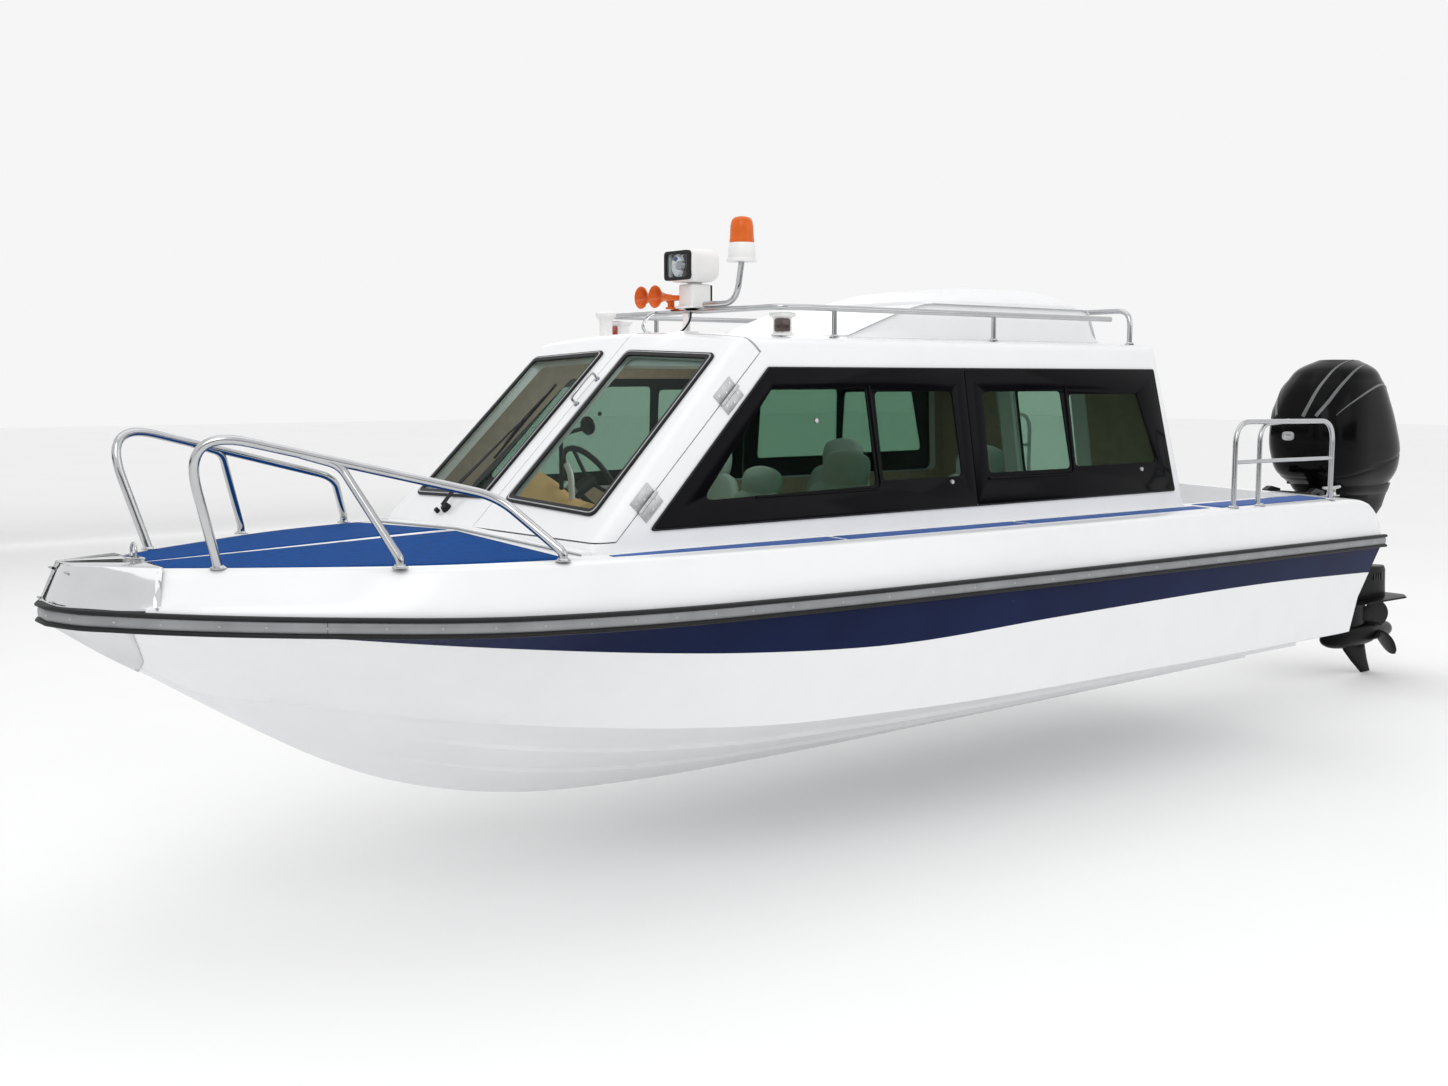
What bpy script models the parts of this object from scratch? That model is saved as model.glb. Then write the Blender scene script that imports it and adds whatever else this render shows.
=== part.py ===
"""Inshore rescue boat: a cabin speedboat with one large outboard on an engine bracket.

Metres, +Z up. The bow points to -Y, port is +X. The origin is on the centreline at the waterline,
at the middle of the hull's length.
"""

import math

import bmesh
import bpy
import numpy as np
from mathutils import Matrix, Vector

# Driving dimensions of the hull
GAP = 0.0003
BOW_Y = -3.236
STERN_Y = 3.21
TRANSOM_RAKE = 0.385
TRANSOM_Z = 0.473
SOLE_Z = 0.06
COCKPIT_Z = 0.10
WELL_HALF = 0.745
WELL_FRONT = -1.35
COCKPIT_FRONT = 1.98
WELL_BACK = 2.86
LEDGE_Z = 0.60

# Keel height along the boat
KEEL = ((-3.236, 0.548), (-3.19, 0.515), (-3.077, 0.433), (-2.932, 0.339), (-2.571, 0.101), (-2.328, -0.045),
        (-2.09, -0.158), (-1.81, -0.25), (-1.5, -0.315), (-1.0, -0.36), (-0.3, -0.378), (1.0, -0.38), (3.21, -0.37))
# Sheer along the boat: half breadth and height of the joint between hull and deck
SHEER_X = ((-3.236, 0.05), (-3.2, 0.14), (-3.09, 0.265), (-2.9, 0.425), (-2.7, 0.56), (-2.5, 0.675), (-2.29, 0.78),
           (-2.07, 0.862), (-1.8, 0.925), (-1.54, 0.967), (-0.91, 1.017), (0.17, 1.043), (1.53, 1.062), (3.21, 1.066))
SHEER_Z = ((-3.236, 0.578), (-2.9, 0.56), (-2.5, 0.542), (-2.07, 0.524), (-1.54, 0.512), (-0.9, 0.504),
           (0.17, 0.494), (1.5, 0.485), (3.21, 0.473))
# Chine along the boat
CHINE_X = ((-3.236, 0.012), (-3.0, 0.03), (-2.78, 0.045), (-2.55, 0.13), (-2.2, 0.32), (-1.85, 0.51), (-1.45, 0.72),
           (-1.0, 0.87), (-0.3, 0.965), (1.2, 0.995), (3.21, 0.96))
CHINE_Z = ((-3.236, 0.556), (-3.0, 0.405), (-2.78, 0.268), (-2.55, 0.215), (-2.2, 0.155), (-1.85, 0.105), (-1.45, 0.07),
           (-1.0, 0.04), (-0.3, 0.02), (1.2, 0.0), (3.21, -0.022))
# Deck edge along the boat: half breadth and height, and the crown of the deck at the centreline
DECK_X = ((-3.2, 0.06), (-3.12, 0.12), (-3.0, 0.21), (-2.82, 0.36), (-2.55, 0.545), (-2.27, 0.72), (-1.72, 0.905),
          (-1.0, 0.975), (0.0, 1.005), (1.4, 1.03), (3.21, 1.035))
DECK_Z = ((-3.2, 0.69), (-3.1, 0.712), (-3.0, 0.7205), (-2.9, 0.722), (-2.5, 0.722), (-1.6, 0.722), (0.0, 0.716),
          (3.21, 0.706))
CROWN = ((-3.2, 0.0), (-2.95, 0.0), (-2.4, 0.016), (-1.75, 0.036), (-1.6, 0.033), (-1.45, 0.03), (-1.3, 0.03),
         (3.21, 0.03))
CROWN_SHAPE = ((-3.2, 0.5), (-1.9, 0.5), (-1.75, 0.5), (-1.45, 0.75), (-1.3, 0.75), (3.21, 0.75))
HULL_STATIONS = (-3.236, -3.19, -3.12, -3.0, -2.85, -2.7, -2.5, -2.3, -2.07, -1.8, -1.5, -1.2, -0.9, -0.5,
                 0.2, 1.2, 2.2, 3.21)
DECK_STATIONS = HULL_STATIONS[2:-1]

# Rub rail section: outward and upward from the joint
RAIL_HALF = 0.034
RAIL_DEPTH = 0.024
RECESS_HALF = 0.018
RECESS_DEPTH = 0.008

# Cabin: the side walls lean inward, and each half of the front slopes back from the centreline outward
CABIN_HALF = 0.80
CABIN_BASE = 0.735
LEAN = 0.125
FRONT_Y = -1.718
FRONT_SLOPE = 1.005
FRONT_VEE = 0.055
FRONT_TOP_Z = 1.485
REAR_TOP_Z = 1.488
REAR_BASE_Y = 1.797
REAR_SLOPE = -0.1936
ROOF_CROWN = 0.034
ROOF_ROUND = 0.035
WALL = 0.045
DOOR_THICK = 0.024
DOOR_GAP = 0.005
GLASS = 0.006

# Outboard
CLAMP_Y = 4.03
TILT_AXIS = (0.0, 4.12, 0.60)
STEER_Y = 4.36
STEER_PIN = 0.02
PROP_Y = 5.16
PROP_Z = -0.36


def clear_scene():
    for obj in list(bpy.data.objects):
        bpy.data.objects.remove(obj, do_unlink=True)


clear_scene()
BOAT = bpy.data.collections.new("inshore_rescue_boat")
CUTTERS = bpy.data.collections.new("cutters")
bpy.context.scene.collection.children.link(BOAT)
bpy.context.scene.collection.children.link(CUTTERS)
CUTTERS.hide_render = True


def material(name, colour, roughness, metallic=0.0, alpha=1.0):
    made = bpy.data.materials.new(name)
    made.use_nodes = True
    shader = made.node_tree.nodes["Principled BSDF"]
    shader.inputs["Base Color"].default_value = (*colour, 1.0)
    shader.inputs["Roughness"].default_value = roughness
    shader.inputs["Metallic"].default_value = metallic
    shader.inputs["Alpha"].default_value = alpha
    return made


GELCOAT = material("gelcoat_white", (0.86, 0.87, 0.88), 0.25)
BLUE = material("deck_blue", (0.02, 0.07, 0.28), 0.6)
RUBBER = material("black_rubber", (0.015, 0.015, 0.017), 0.6)
STEEL = material("polished_steel", (0.72, 0.72, 0.72), 0.15, 1.0)
TINTED = material("tinted_glass", (0.08, 0.14, 0.11), 0.05, 0.0, 0.4)
FRIT = material("black_glass", (0.01, 0.01, 0.012), 0.08)
DASH = material("tan_moulding", (0.5, 0.28, 0.12), 0.5)
SEAT = material("grey_vinyl", (0.5, 0.5, 0.5), 0.6)
GLOSS_BLACK = material("gloss_black", (0.012, 0.012, 0.014), 0.12)
DARK_METAL = material("dark_metal", (0.03, 0.03, 0.03), 0.4, 0.6)
AMBER = material("amber_plastic", (0.8, 0.16, 0.02), 0.2)
RED = material("red_plastic", (0.6, 0.03, 0.01), 0.2)
PLASTIC = material("white_plastic", (0.85, 0.85, 0.84), 0.35)


def smooth_at(table, y):
    """Value at y of the smooth curve through the table's points."""
    ys = np.array([row[0] for row in table])
    vs = np.array([row[1] for row in table])
    slopes = np.gradient(vs, ys)
    y = min(max(y, ys[0]), ys[-1])
    i = min(int(np.searchsorted(ys, y, side="right")) - 1, len(ys) - 2)
    h = ys[i + 1] - ys[i]
    t = (y - ys[i]) / h
    a = (2 * t**3 - 3 * t**2 + 1) * vs[i] + (t**3 - 2 * t**2 + t) * h * slopes[i]
    b = (-2 * t**3 + 3 * t**2) * vs[i + 1] + (t**3 - t**2) * h * slopes[i + 1]
    return float(a + b)


def add(name, mesh, mat, collection=BOAT):
    obj = bpy.data.objects.new(name, mesh)
    collection.objects.link(obj)
    mesh.materials.clear()
    if mat:
        mesh.materials.append(mat)
    if collection is CUTTERS:
        obj.hide_render = True
        obj.display_type = "WIRE"
    return obj


def from_bmesh(name, bm, mat, collection=BOAT):
    mesh = bpy.data.meshes.new(name)
    bm.to_mesh(mesh)
    bm.free()
    return add(name, mesh, mat, collection)


def evaluated_mesh(obj):
    bpy.context.view_layer.update()
    graph = bpy.context.evaluated_depsgraph_get()
    return bpy.data.meshes.new_from_object(obj.evaluated_get(graph))


def settle(obj):
    """Apply the object's modifiers and transform."""
    mesh = evaluated_mesh(obj)
    mesh.transform(obj.matrix_world)
    old = obj.data
    obj.modifiers.clear()
    obj.data = mesh
    obj.matrix_world = Matrix.Identity(4)
    if old.users == 0:
        bpy.data.meshes.remove(old)
    return obj


def combine(base, others, operation):
    for other in others:
        modifier = base.modifiers.new(operation.lower(), "BOOLEAN")
        modifier.operation = operation
        modifier.solver = "EXACT"
        modifier.object = other
        settle(base)
        weld(base)
        bpy.data.objects.remove(other, do_unlink=True)
    return base


def weld(obj):
    """Close the hairline edges that a Boolean can leave."""
    bm = bmesh.new()
    bm.from_mesh(obj.data)
    bmesh.ops.remove_doubles(bm, verts=bm.verts, dist=0.00002)
    bmesh.ops.dissolve_degenerate(bm, dist=0.00002, edges=bm.edges)
    loose = [edge for edge in bm.edges if not edge.link_faces]
    bmesh.ops.delete(bm, geom=loose, context="EDGES")
    bm.to_mesh(obj.data)
    bm.free()


def unite(base, *others):
    return combine(base, others, "UNION")


def cut(base, *others):
    return combine(base, others, "DIFFERENCE")


def bevel(obj, width, segments=2, angle=30):
    modifier = obj.modifiers.new("bevel", "BEVEL")
    modifier.width = width
    modifier.segments = segments
    modifier.limit_method = "ANGLE"
    modifier.angle_limit = math.radians(angle)
    return settle(obj)


def rounded(obj, angle=40):
    obj.data.shade_smooth()
    obj.data.set_sharp_from_angle(angle=math.radians(angle))
    return obj


def box(name, low, high, mat=None, soft=0.0, collection=BOAT):
    bm = bmesh.new()
    bmesh.ops.create_cube(bm, size=1.0)
    size = Vector(high) - Vector(low)
    middle = (Vector(high) + Vector(low)) / 2
    bmesh.ops.scale(bm, vec=size, verts=bm.verts)
    bmesh.ops.translate(bm, vec=middle, verts=bm.verts)
    obj = from_bmesh(name, bm, mat, collection)
    return bevel(obj, soft) if soft else obj


def cylinder(name, start, end, radius, mat=None, sides=16, end_radius=None, collection=BOAT):
    start, end = Vector(start), Vector(end)
    bm = bmesh.new()
    bmesh.ops.create_cone(bm, cap_ends=True, segments=sides, radius1=radius,
                          radius2=radius if end_radius is None else end_radius, depth=(end - start).length)
    turn = (end - start).to_track_quat("Z", "Y").to_matrix().to_4x4()
    bmesh.ops.transform(bm, matrix=Matrix.Translation((start + end) / 2) @ turn, verts=bm.verts)
    return rounded(from_bmesh(name, bm, mat, collection))


def loft(name, rings, mat=None, collection=BOAT):
    """Skin between closed rings that all have the same number of points, with flat ends."""
    bm = bmesh.new()
    rows = [[bm.verts.new(point) for point in ring] for ring in rings]
    count = len(rings[0])
    for first, second in zip(rows, rows[1:]):
        for i in range(count):
            j = (i + 1) % count
            bm.faces.new((first[i], first[j], second[j], second[i]))
    bm.faces.new(rows[0])
    bm.faces.new(rows[-1])
    bmesh.ops.recalc_face_normals(bm, faces=bm.faces)
    return rounded(from_bmesh(name, bm, mat, collection), 25)


def outline(name, points, thickness, frame=None, mat=None, holes=(), collection=BOAT):
    """Flat outline of the given thickness, in the XY plane of frame and centred on it."""
    curve = bpy.data.curves.new(name, "CURVE")
    curve.dimensions = "2D"
    curve.fill_mode = "BOTH"
    curve.extrude = thickness / 2
    for loop in (points, *holes):
        spline = curve.splines.new("POLY")
        spline.points.add(len(loop) - 1)
        for point, (x, y) in zip(spline.points, loop):
            point.co = (x, y, 0, 1)
        spline.use_cyclic_u = True
    guide = add_curve(name, curve, collection)
    obj = curve_to_mesh(guide, mat, collection)
    if frame is not None:
        obj.data.transform(frame)
        if frame.determinant() < 0:
            obj.data.flip_normals()
    return obj


def add_curve(name, curve, collection=BOAT):
    obj = bpy.data.objects.new(name + "_line", curve)
    collection.objects.link(obj)
    return obj


def curve_to_mesh(guide, mat, collection=BOAT):
    name = guide.name.removesuffix("_line")
    mesh = evaluated_mesh(guide)
    bm = bmesh.new()
    bm.from_mesh(mesh)
    bmesh.ops.remove_doubles(bm, verts=bm.verts, dist=0.00001)
    bmesh.ops.recalc_face_normals(bm, faces=bm.faces)
    bpy.data.objects.remove(guide, do_unlink=True)
    bpy.data.meshes.remove(mesh)
    return rounded(from_bmesh(name, bm, mat, collection))


def bent(points, radius, steps=4):
    """The path through points with its corners rounded to the given radius."""
    points = [Vector(point) for point in points]
    path = [points[0]]
    for before, corner, after in zip(points, points[1:], points[2:]):
        back = (before - corner).normalized()
        ahead = (after - corner).normalized()
        half = back.angle(ahead) / 2
        reach = min(radius / math.tan(half), 0.45 * (before - corner).length, 0.45 * (after - corner).length)
        start, end = corner + back * reach, corner + ahead * reach
        for i in range(steps + 1):
            t = i / steps
            path.append((1 - t)**2 * start + 2 * t * (1 - t) * corner + t**2 * end)
    path.append(points[-1])
    return path


def tube(name, points, radius, mat=STEEL, resolution=2, collection=BOAT):
    curve = bpy.data.curves.new(name, "CURVE")
    curve.dimensions = "3D"
    curve.bevel_depth = radius
    curve.bevel_resolution = resolution
    curve.use_fill_caps = True
    spline = curve.splines.new("POLY")
    spline.points.add(len(points) - 1)
    for point, place in zip(spline.points, points):
        point.co = (*place, 1)
    return curve_to_mesh(add_curve(name, curve, collection), mat, collection)


def turned(name, profile, place, mat, direction=(0, 0, 1), steps=20):
    """Turned piece: profile of (radius, height) from top to bottom on its outer side."""
    mesh = bpy.data.meshes.new(name)
    points = [(radius, 0, height) for radius, height in profile]
    mesh.from_pydata(points, [(i, i + 1) for i in range(len(points) - 1)], [])
    obj = add(name, mesh, mat)
    screw = obj.modifiers.new("screw", "SCREW")
    screw.steps = steps
    screw.render_steps = steps
    screw.use_merge_vertices = True
    screw.merge_threshold = 0.00005
    turn = Vector(direction).to_track_quat("Z", "Y").to_matrix().to_4x4()
    obj.matrix_world = Matrix.Translation(place) @ turn
    settle(obj)
    bm = bmesh.new()
    bm.from_mesh(obj.data)
    bmesh.ops.recalc_face_normals(bm, faces=bm.faces)
    bm.to_mesh(obj.data)
    bm.free()
    return rounded(obj)


def mirrored(obj, name):
    """A copy on the other side of the boat."""
    mesh = obj.data.copy()
    mesh.transform(Matrix.Scale(-1, 4, (1, 0, 0)))
    mesh.flip_normals()
    copy = bpy.data.objects.new(name, mesh)
    BOAT.objects.link(copy)
    return copy


def both_sides(half):
    """A ring from one side's points, which run from the centreline outward and back to it or not."""
    other = [(-x, y, z) for x, y, z in reversed(half) if abs(x) > 1e-9]
    return list(half) + other


# Hull and deck
def hull_ring(y):
    keel = smooth_at(KEEL, y)
    cx, cz = smooth_at(CHINE_X, y), smooth_at(CHINE_Z, y)
    sx, sz = smooth_at(SHEER_X, y), smooth_at(SHEER_Z, y)
    fade = min(max((y + 2.6) / 1.0, 0.0), 1.0)
    half = [(0.0, keel)]
    for share in (0.36, 0.68):
        x, z = cx * share, keel + (cz - keel) * share
        half.append((x, z - 0.008 * fade))
        half.append((x + 0.004, z + 0.010 * fade + 0.001))
    half.append((cx - 0.028 * fade - 0.002, cz - 0.012 * fade))
    half.append((cx, cz))
    hollow = 0.035 * min(max((-1.2 - y) / 1.0, 0.0), 1.0) * min(1.0, sx / 0.4)
    for share in (0.35, 0.7):
        half.append((cx + (sx - cx) * share - hollow * math.sin(math.pi * share), cz + (sz - cz) * share))
    half.append((sx, sz))
    ring = both_sides([(x, y, z) for x, z in half])
    if y >= STERN_Y:
        ring = [(x, y + TRANSOM_RAKE * (z - TRANSOM_Z), z) for x, _, z in ring]
    return ring


def make_hull():
    hull = loft("hull", [hull_ring(y) for y in HULL_STATIONS], GELCOAT)
    profile = [(WELL_FRONT, SOLE_Z), (COCKPIT_FRONT, SOLE_Z), (COCKPIT_FRONT, COCKPIT_Z), (WELL_BACK, COCKPIT_Z),
               (WELL_BACK, 1.0), (WELL_FRONT, 1.0)]
    well = loft("well", [[(x, y, z) for y, z in profile] for x in (-WELL_HALF, WELL_HALF)], None, CUTTERS)
    return cut(hull, well)


def deck_ring(y, top_drop=0.0):
    sx, sz = smooth_at(SHEER_X, y), smooth_at(SHEER_Z, y) + GAP
    dx, dz = smooth_at(DECK_X, y), smooth_at(DECK_Z, y) - top_drop
    crown = smooth_at(CROWN, y)
    rise = dz - sz
    half = [(sx, sz), (sx - 0.004, sz + 0.3 * rise), (dx + 0.25 * (sx - dx), sz + 0.82 * rise),
            (dx, dz - 0.01), (dx - 0.03, dz), (dx * 0.5, dz + smooth_at(CROWN_SHAPE, y) * crown),
            (0.0, dz + crown)]
    points = [(x, y, z) for x, z in half]
    return points + [(-x, py, z) for x, py, z in reversed(points[:-1])]


def leaned(ring, low_y, high_y):
    """Move a ring's points along the boat with their height, from low_y at the joint to high_y at the top."""
    zs = [point[2] for point in ring]
    low, high = min(zs), max(zs)
    return [(x, low_y + (high_y - low_y) * (z - low) / (high - low), z) for x, _, z in ring]


def make_deck():
    rings = [leaned(deck_ring(BOW_Y), BOW_Y, -3.165)]
    rings += [deck_ring(y) for y in DECK_STATIONS]
    for y, drop in ((2.9, 0.0), (3.05, 0.012), (3.14, 0.05), (3.19, 0.10)):
        rings.append(deck_ring(y, drop))
    rings.append(deck_ring(STERN_Y, 0.17))
    deck = loft("deck_moulding", rings, GELCOAT)
    well = box("well", (-WELL_HALF, WELL_FRONT, 0.3), (WELL_HALF, WELL_BACK, 1.0), collection=CUTTERS)
    cut(deck, well)
    return cut(deck, cabin_solid("seat_for_cabin", GAP, LEDGE_Z, CUTTERS))


def sheer_path():
    """Points around the sheer from the port stern round the bow to the starboard stern."""
    ys = HULL_STATIONS[:0:-1]
    port = [Vector((smooth_at(SHEER_X, y), y, smooth_at(SHEER_Z, y))) for y in ys]
    port.append(Vector((0.05, BOW_Y, smooth_at(SHEER_Z, BOW_Y))))
    return port + [Vector((-p.x, p.y, p.z)) for p in reversed(port)]


def band(name, section, mat):
    """A strip swept around the sheer; section points are (outward, upward)."""
    path = sheer_path()
    rings = []
    for i, place in enumerate(path):
        before = path[max(i - 1, 0)]
        after = path[min(i + 1, len(path) - 1)]
        along = (after - before)
        along.z = 0
        along.normalize()
        out = Vector((-along.y, along.x, 0))
        if out.dot(Vector((place.x, place.y - 3.0, 0))) < 0:
            out = -out
        rings.append([place + out * a + Vector((0, 0, b)) for a, b in section])
    return loft(name, rings, mat)


def make_rub_rail():
    inner = 0.0009
    bead = [(RAIL_DEPTH - 0.006, RAIL_HALF), (RAIL_DEPTH, RAIL_HALF - 0.004), (RAIL_DEPTH, RECESS_HALF + 0.004),
            (RAIL_DEPTH - 0.006, RECESS_HALF), (RECESS_DEPTH, RECESS_HALF)]
    top = [(inner, RAIL_HALF)] + bead
    band("rub_rail", top + [(a, -b) for a, b in reversed(top)], RUBBER)
    low, high, half = RECESS_DEPTH + GAP, RECESS_DEPTH + 0.007, RECESS_HALF - GAP
    band("rub_rail_strip", [(low, half), (high, half), (high, -half), (low, -half)], STEEL)


# Cabin
def wall_x(z):
    """Half breadth of the cabin at height z."""
    return CABIN_HALF - LEAN * (z - CABIN_BASE)


def front_y(x, z):
    return FRONT_Y + FRONT_VEE * abs(x) + FRONT_SLOPE * (z - CABIN_BASE)


def rear_y(z):
    return REAR_BASE_Y + REAR_SLOPE * (z - CABIN_BASE)


def cabin_profile(share, offset, floor):
    """Side outline of the cabin at a share of its half breadth, grown by offset, down to the floor height."""
    def side(z):
        return share * (wall_x(z) + 1.008 * offset)
    knee = CABIN_BASE + 0.41 * offset
    front = FRONT_TOP_Z + ROOF_CROWN * (1 - share**2) + offset
    rear = REAR_TOP_Z + ROOF_CROWN * (1 - share**2) + offset
    ahead, behind = 1.42 * offset, 1.02 * offset
    return [(side(floor), front_y(side(floor), knee) - ahead, floor), (side(knee), front_y(side(knee), knee) - ahead, knee),
            (side(front), front_y(side(front), front) - ahead, front), (side(rear), rear_y(rear) + behind, rear),
            (side(floor), rear_y(floor) + behind, floor)]


def cabin_solid(name, offset, floor, collection=BOAT, mat=None):
    rings = [cabin_profile(share, offset, floor) for share in (-1, -0.75, -0.4, 0, 0.4, 0.75, 1)]
    return loft(name, rings, mat, collection)


def frame_of(across, up, out, base):
    frame = Matrix.Identity(4)
    for i, axis in enumerate((across, up, out, base)):
        frame[0][i], frame[1][i], frame[2][i] = axis
    return frame


def front_frame(side):
    """Frame of one half of the cabin front: X from the centre outward, Y up the slope, Z out of the surface."""
    across = Vector((side, FRONT_VEE, 0)).normalized()
    up = Vector((0, FRONT_SLOPE, 1)).normalized()
    out = across.cross(up).normalized()
    if out.y > 0:
        out = -out
    return frame_of(across, up, out, Vector((0, FRONT_Y, CABIN_BASE)))


def side_frame(side):
    """Frame of a cabin side: X along the boat, Y is height, Z out of the wall."""
    out = Vector((side, 0, LEAN)).normalized()
    return frame_of(Vector((0, 1, 0)), Vector((-side * LEAN, 0, 1)), out, Vector((side * wall_x(0), 0, 0)))


def rear_frame():
    """Frame of the raked rear wall: X across to port, Y up the wall, Z out of it."""
    up = Vector((0, REAR_SLOPE, 1)).normalized()
    out = Vector((0, 1, -REAR_SLOPE)).normalized()
    return frame_of(Vector((1, 0, 0)), up, out, Vector((0, rear_y(0), 0)))


def seam_y(z):
    """The front door's seam on the port wall."""
    return SEAM_Y + SEAM_SLOPE * (z - CABIN_BASE)


def seam_frame(z):
    """Frame on the seam at height z: X aft along the wall, Y up the seam, Z out of the wall."""
    out = Vector((1, 0, LEAN)).normalized()
    up = Vector((-LEAN, SEAM_SLOPE, 1)).normalized()
    return frame_of(up.cross(out), up, out, Vector((wall_x(z), seam_y(z), z)))


def rounded_loop(corners, radius, steps=3):
    """Closed 2D loop with rounded corners."""
    loop = []
    count = len(corners)
    for i in range(count):
        before, corner, after = (Vector(corners[(i + k) % count]) for k in (-1, 0, 1))
        back, ahead = (before - corner).normalized(), (after - corner).normalized()
        reach = min(radius / math.tan(back.angle(ahead) / 2), 0.4 * (before - corner).length, 0.4 * (after - corner).length)
        start, end = corner + back * reach, corner + ahead * reach
        for k in range(steps + 1):
            t = k / steps
            point = (1 - t)**2 * start + 2 * t * (1 - t) * corner + t**2 * end
            loop.append((point.x, point.y))
    return loop


def shrunk(corners, by):
    """Corners moved inward by a distance on every side."""
    count = len(corners)
    area = sum(corners[i][0] * corners[(i + 1) % count][1] - corners[(i + 1) % count][0] * corners[i][1] for i in range(count))
    turn = 1 if area > 0 else -1
    moved = []
    for i in range(count):
        before, corner, after = (Vector(corners[(i + k) % count]) for k in (-1, 0, 1))
        first, second = (corner - before).normalized(), (after - corner).normalized()
        n1, n2 = turn * Vector((-first.y, first.x)), turn * Vector((-second.y, second.x))
        moved.append(tuple(corner + (n1 + n2) * by / (1 + n1.dot(n2))))
    return moved


WINDSCREEN = ((0.083, 0.180), (0.679, 0.152), (0.647, 0.975), (0.079, 1.004))
WINDSCREEN_RIM = 0.03
DOOR_INNER = 0.012
DOOR_LOW = 0.765
DOOR_TOP = (-0.836, 1.430)
SEAM_Y = -1.588
SEAM_SLOPE = 1.093
SIDE_GLASS = ((-1.407, 0.795), (1.707, 0.795), (1.607, 1.372), (-0.802, 1.372))
SIDE_JOINT = ((0.280, 1.372), (0.306, 0.795))
SIDE_OPENINGS_FRONT = (((-1.170, 0.888), (-0.285, 0.905), (-0.308, 1.294), (-0.796, 1.292)),
                       ((-0.243, 0.923), (0.219, 0.923), (0.194, 1.278), (-0.257, 1.278)))
SIDE_OPENINGS_REAR = (((0.392, 0.929), (0.939, 0.929), (0.902, 1.275), (0.385, 1.275)),
                      ((0.976, 0.936), (1.581, 0.936), (1.460, 1.261), (0.961, 1.261)))


def at_depth(frame, depth):
    return frame @ Matrix.Translation((0, 0, depth))


def make_cabin():
    cabin = outer_cabin("cabin_shell")
    cut(cabin, box("below_ledge", (-1, -3, 0), (1, 3, LEDGE_Z + GAP), collection=CUTTERS))
    lower = rear_slab("rear_bulkhead_part", WELL_HALF - GAP, SOLE_Z + GAP, CABIN_BASE + 0.1, 0.003, WALL - 0.006)
    cut(cabin, cabin_solid("room", -WALL, 0.4, CUTTERS))
    unite(cabin, lower)
    cut(cabin, trunk_hole())
    for side in (1, -1):
        hole = rounded_loop(shrunk(SIDE_GLASS, 0.035), 0.04)
        cut(cabin, outline("side_hole", hole, 0.2, side_frame(side), collection=CUTTERS))
    hole = rounded_loop(shrunk(WINDSCREEN, WINDSCREEN_RIM / 2), 0.04)
    cut(cabin, outline("windscreen_hole", hole, 0.2, front_frame(-1), collection=CUTTERS))
    recess = door_region("door_recess", DOOR_GAP)
    cut(recess, cabin_solid("behind_door", -DOOR_THICK - DOOR_GAP, 0.4, CUTTERS))
    cut(cabin, recess)
    through = ((0.04, 0.10), (0.70, 0.09), (0.66, 0.94), (0.04, 0.95))
    cut(cabin, outline("door_hole", through, 0.3, front_frame(1), collection=CUTTERS))
    cut(cabin, rear_opening())
    return cabin


def outer_cabin(name):
    cabin = cabin_solid(name, 0.0, LEDGE_Z - 0.1, mat=GELCOAT)
    return bevel(cabin, ROOF_ROUND, 2, 28)


def door_region(name, gap):
    """The space in front of the door's seam, for cutting the door or its recess; gap widens it."""
    low, (y, z) = DOOR_LOW - gap, DOOR_TOP
    slack = 0.75 * gap if gap else -0.75 * DOOR_GAP
    y, z = y + 0.74 * gap + slack, z + 0.68 * gap
    side = [(seam_y(low) + slack, low), (y, z), (y - 0.6, z + 0.6 * SEAM_SLOPE), (-2.4, z + 0.7), (-2.4, low)]
    rings = [[(x, y, z) for y, z in side] for x in (DOOR_INNER - gap, 1.2)]
    return loft(name, rings, None, CUTTERS)


def make_front_door():
    door = outer_cabin("front_door")
    cut(door, cabin_solid("inside_door", -DOOR_THICK, 0.4, CUTTERS))
    region = door_region("door_region", 0.0)
    keep = box("around", (-2, -4, -1), (2, 4, 3), collection=CUTTERS)
    cut(keep, region)
    cut(door, keep)
    hole = rounded_loop(shrunk(WINDSCREEN, WINDSCREEN_RIM / 2), 0.04)
    return cut(door, outline("door_pane_hole", hole, 0.2, front_frame(1), collection=CUTTERS))


def rear_slab(name, half, low, high, front, thick, mat=GELCOAT, collection=BOAT):
    """A slab in the plane of the cabin's raked rear wall, its outer face front metres inside it."""
    ring = [(rear_y(z) - front, z) for z in (low, high)]
    (y0, z0), (y1, z1) = ring
    profile = [(y0, z0), (y1, z1), (y1 - thick, z1), (y0 - thick, z0)]
    return loft(name, [[(x, y, z) for y, z in profile] for x in (-half, half)], mat, collection)


# Rear door, measured up the raked wall
REAR_DOOR_HALF = 0.29
REAR_DOOR_LOW = 0.145
REAR_DOOR_HIGH = 1.42
REAR_PANE_HALF = 0.2
REAR_PANE_LOW = 0.83
REAR_PANE_HIGH = 1.31


def rear_opening():
    low = (-REAR_DOOR_HALF - DOOR_GAP, REAR_DOOR_LOW - DOOR_GAP, -0.15)
    high = (REAR_DOOR_HALF + DOOR_GAP, REAR_DOOR_HIGH + DOOR_GAP, 0.05)
    return slab_in(rear_frame(), "rear_opening", low, high, None, CUTTERS)


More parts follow.
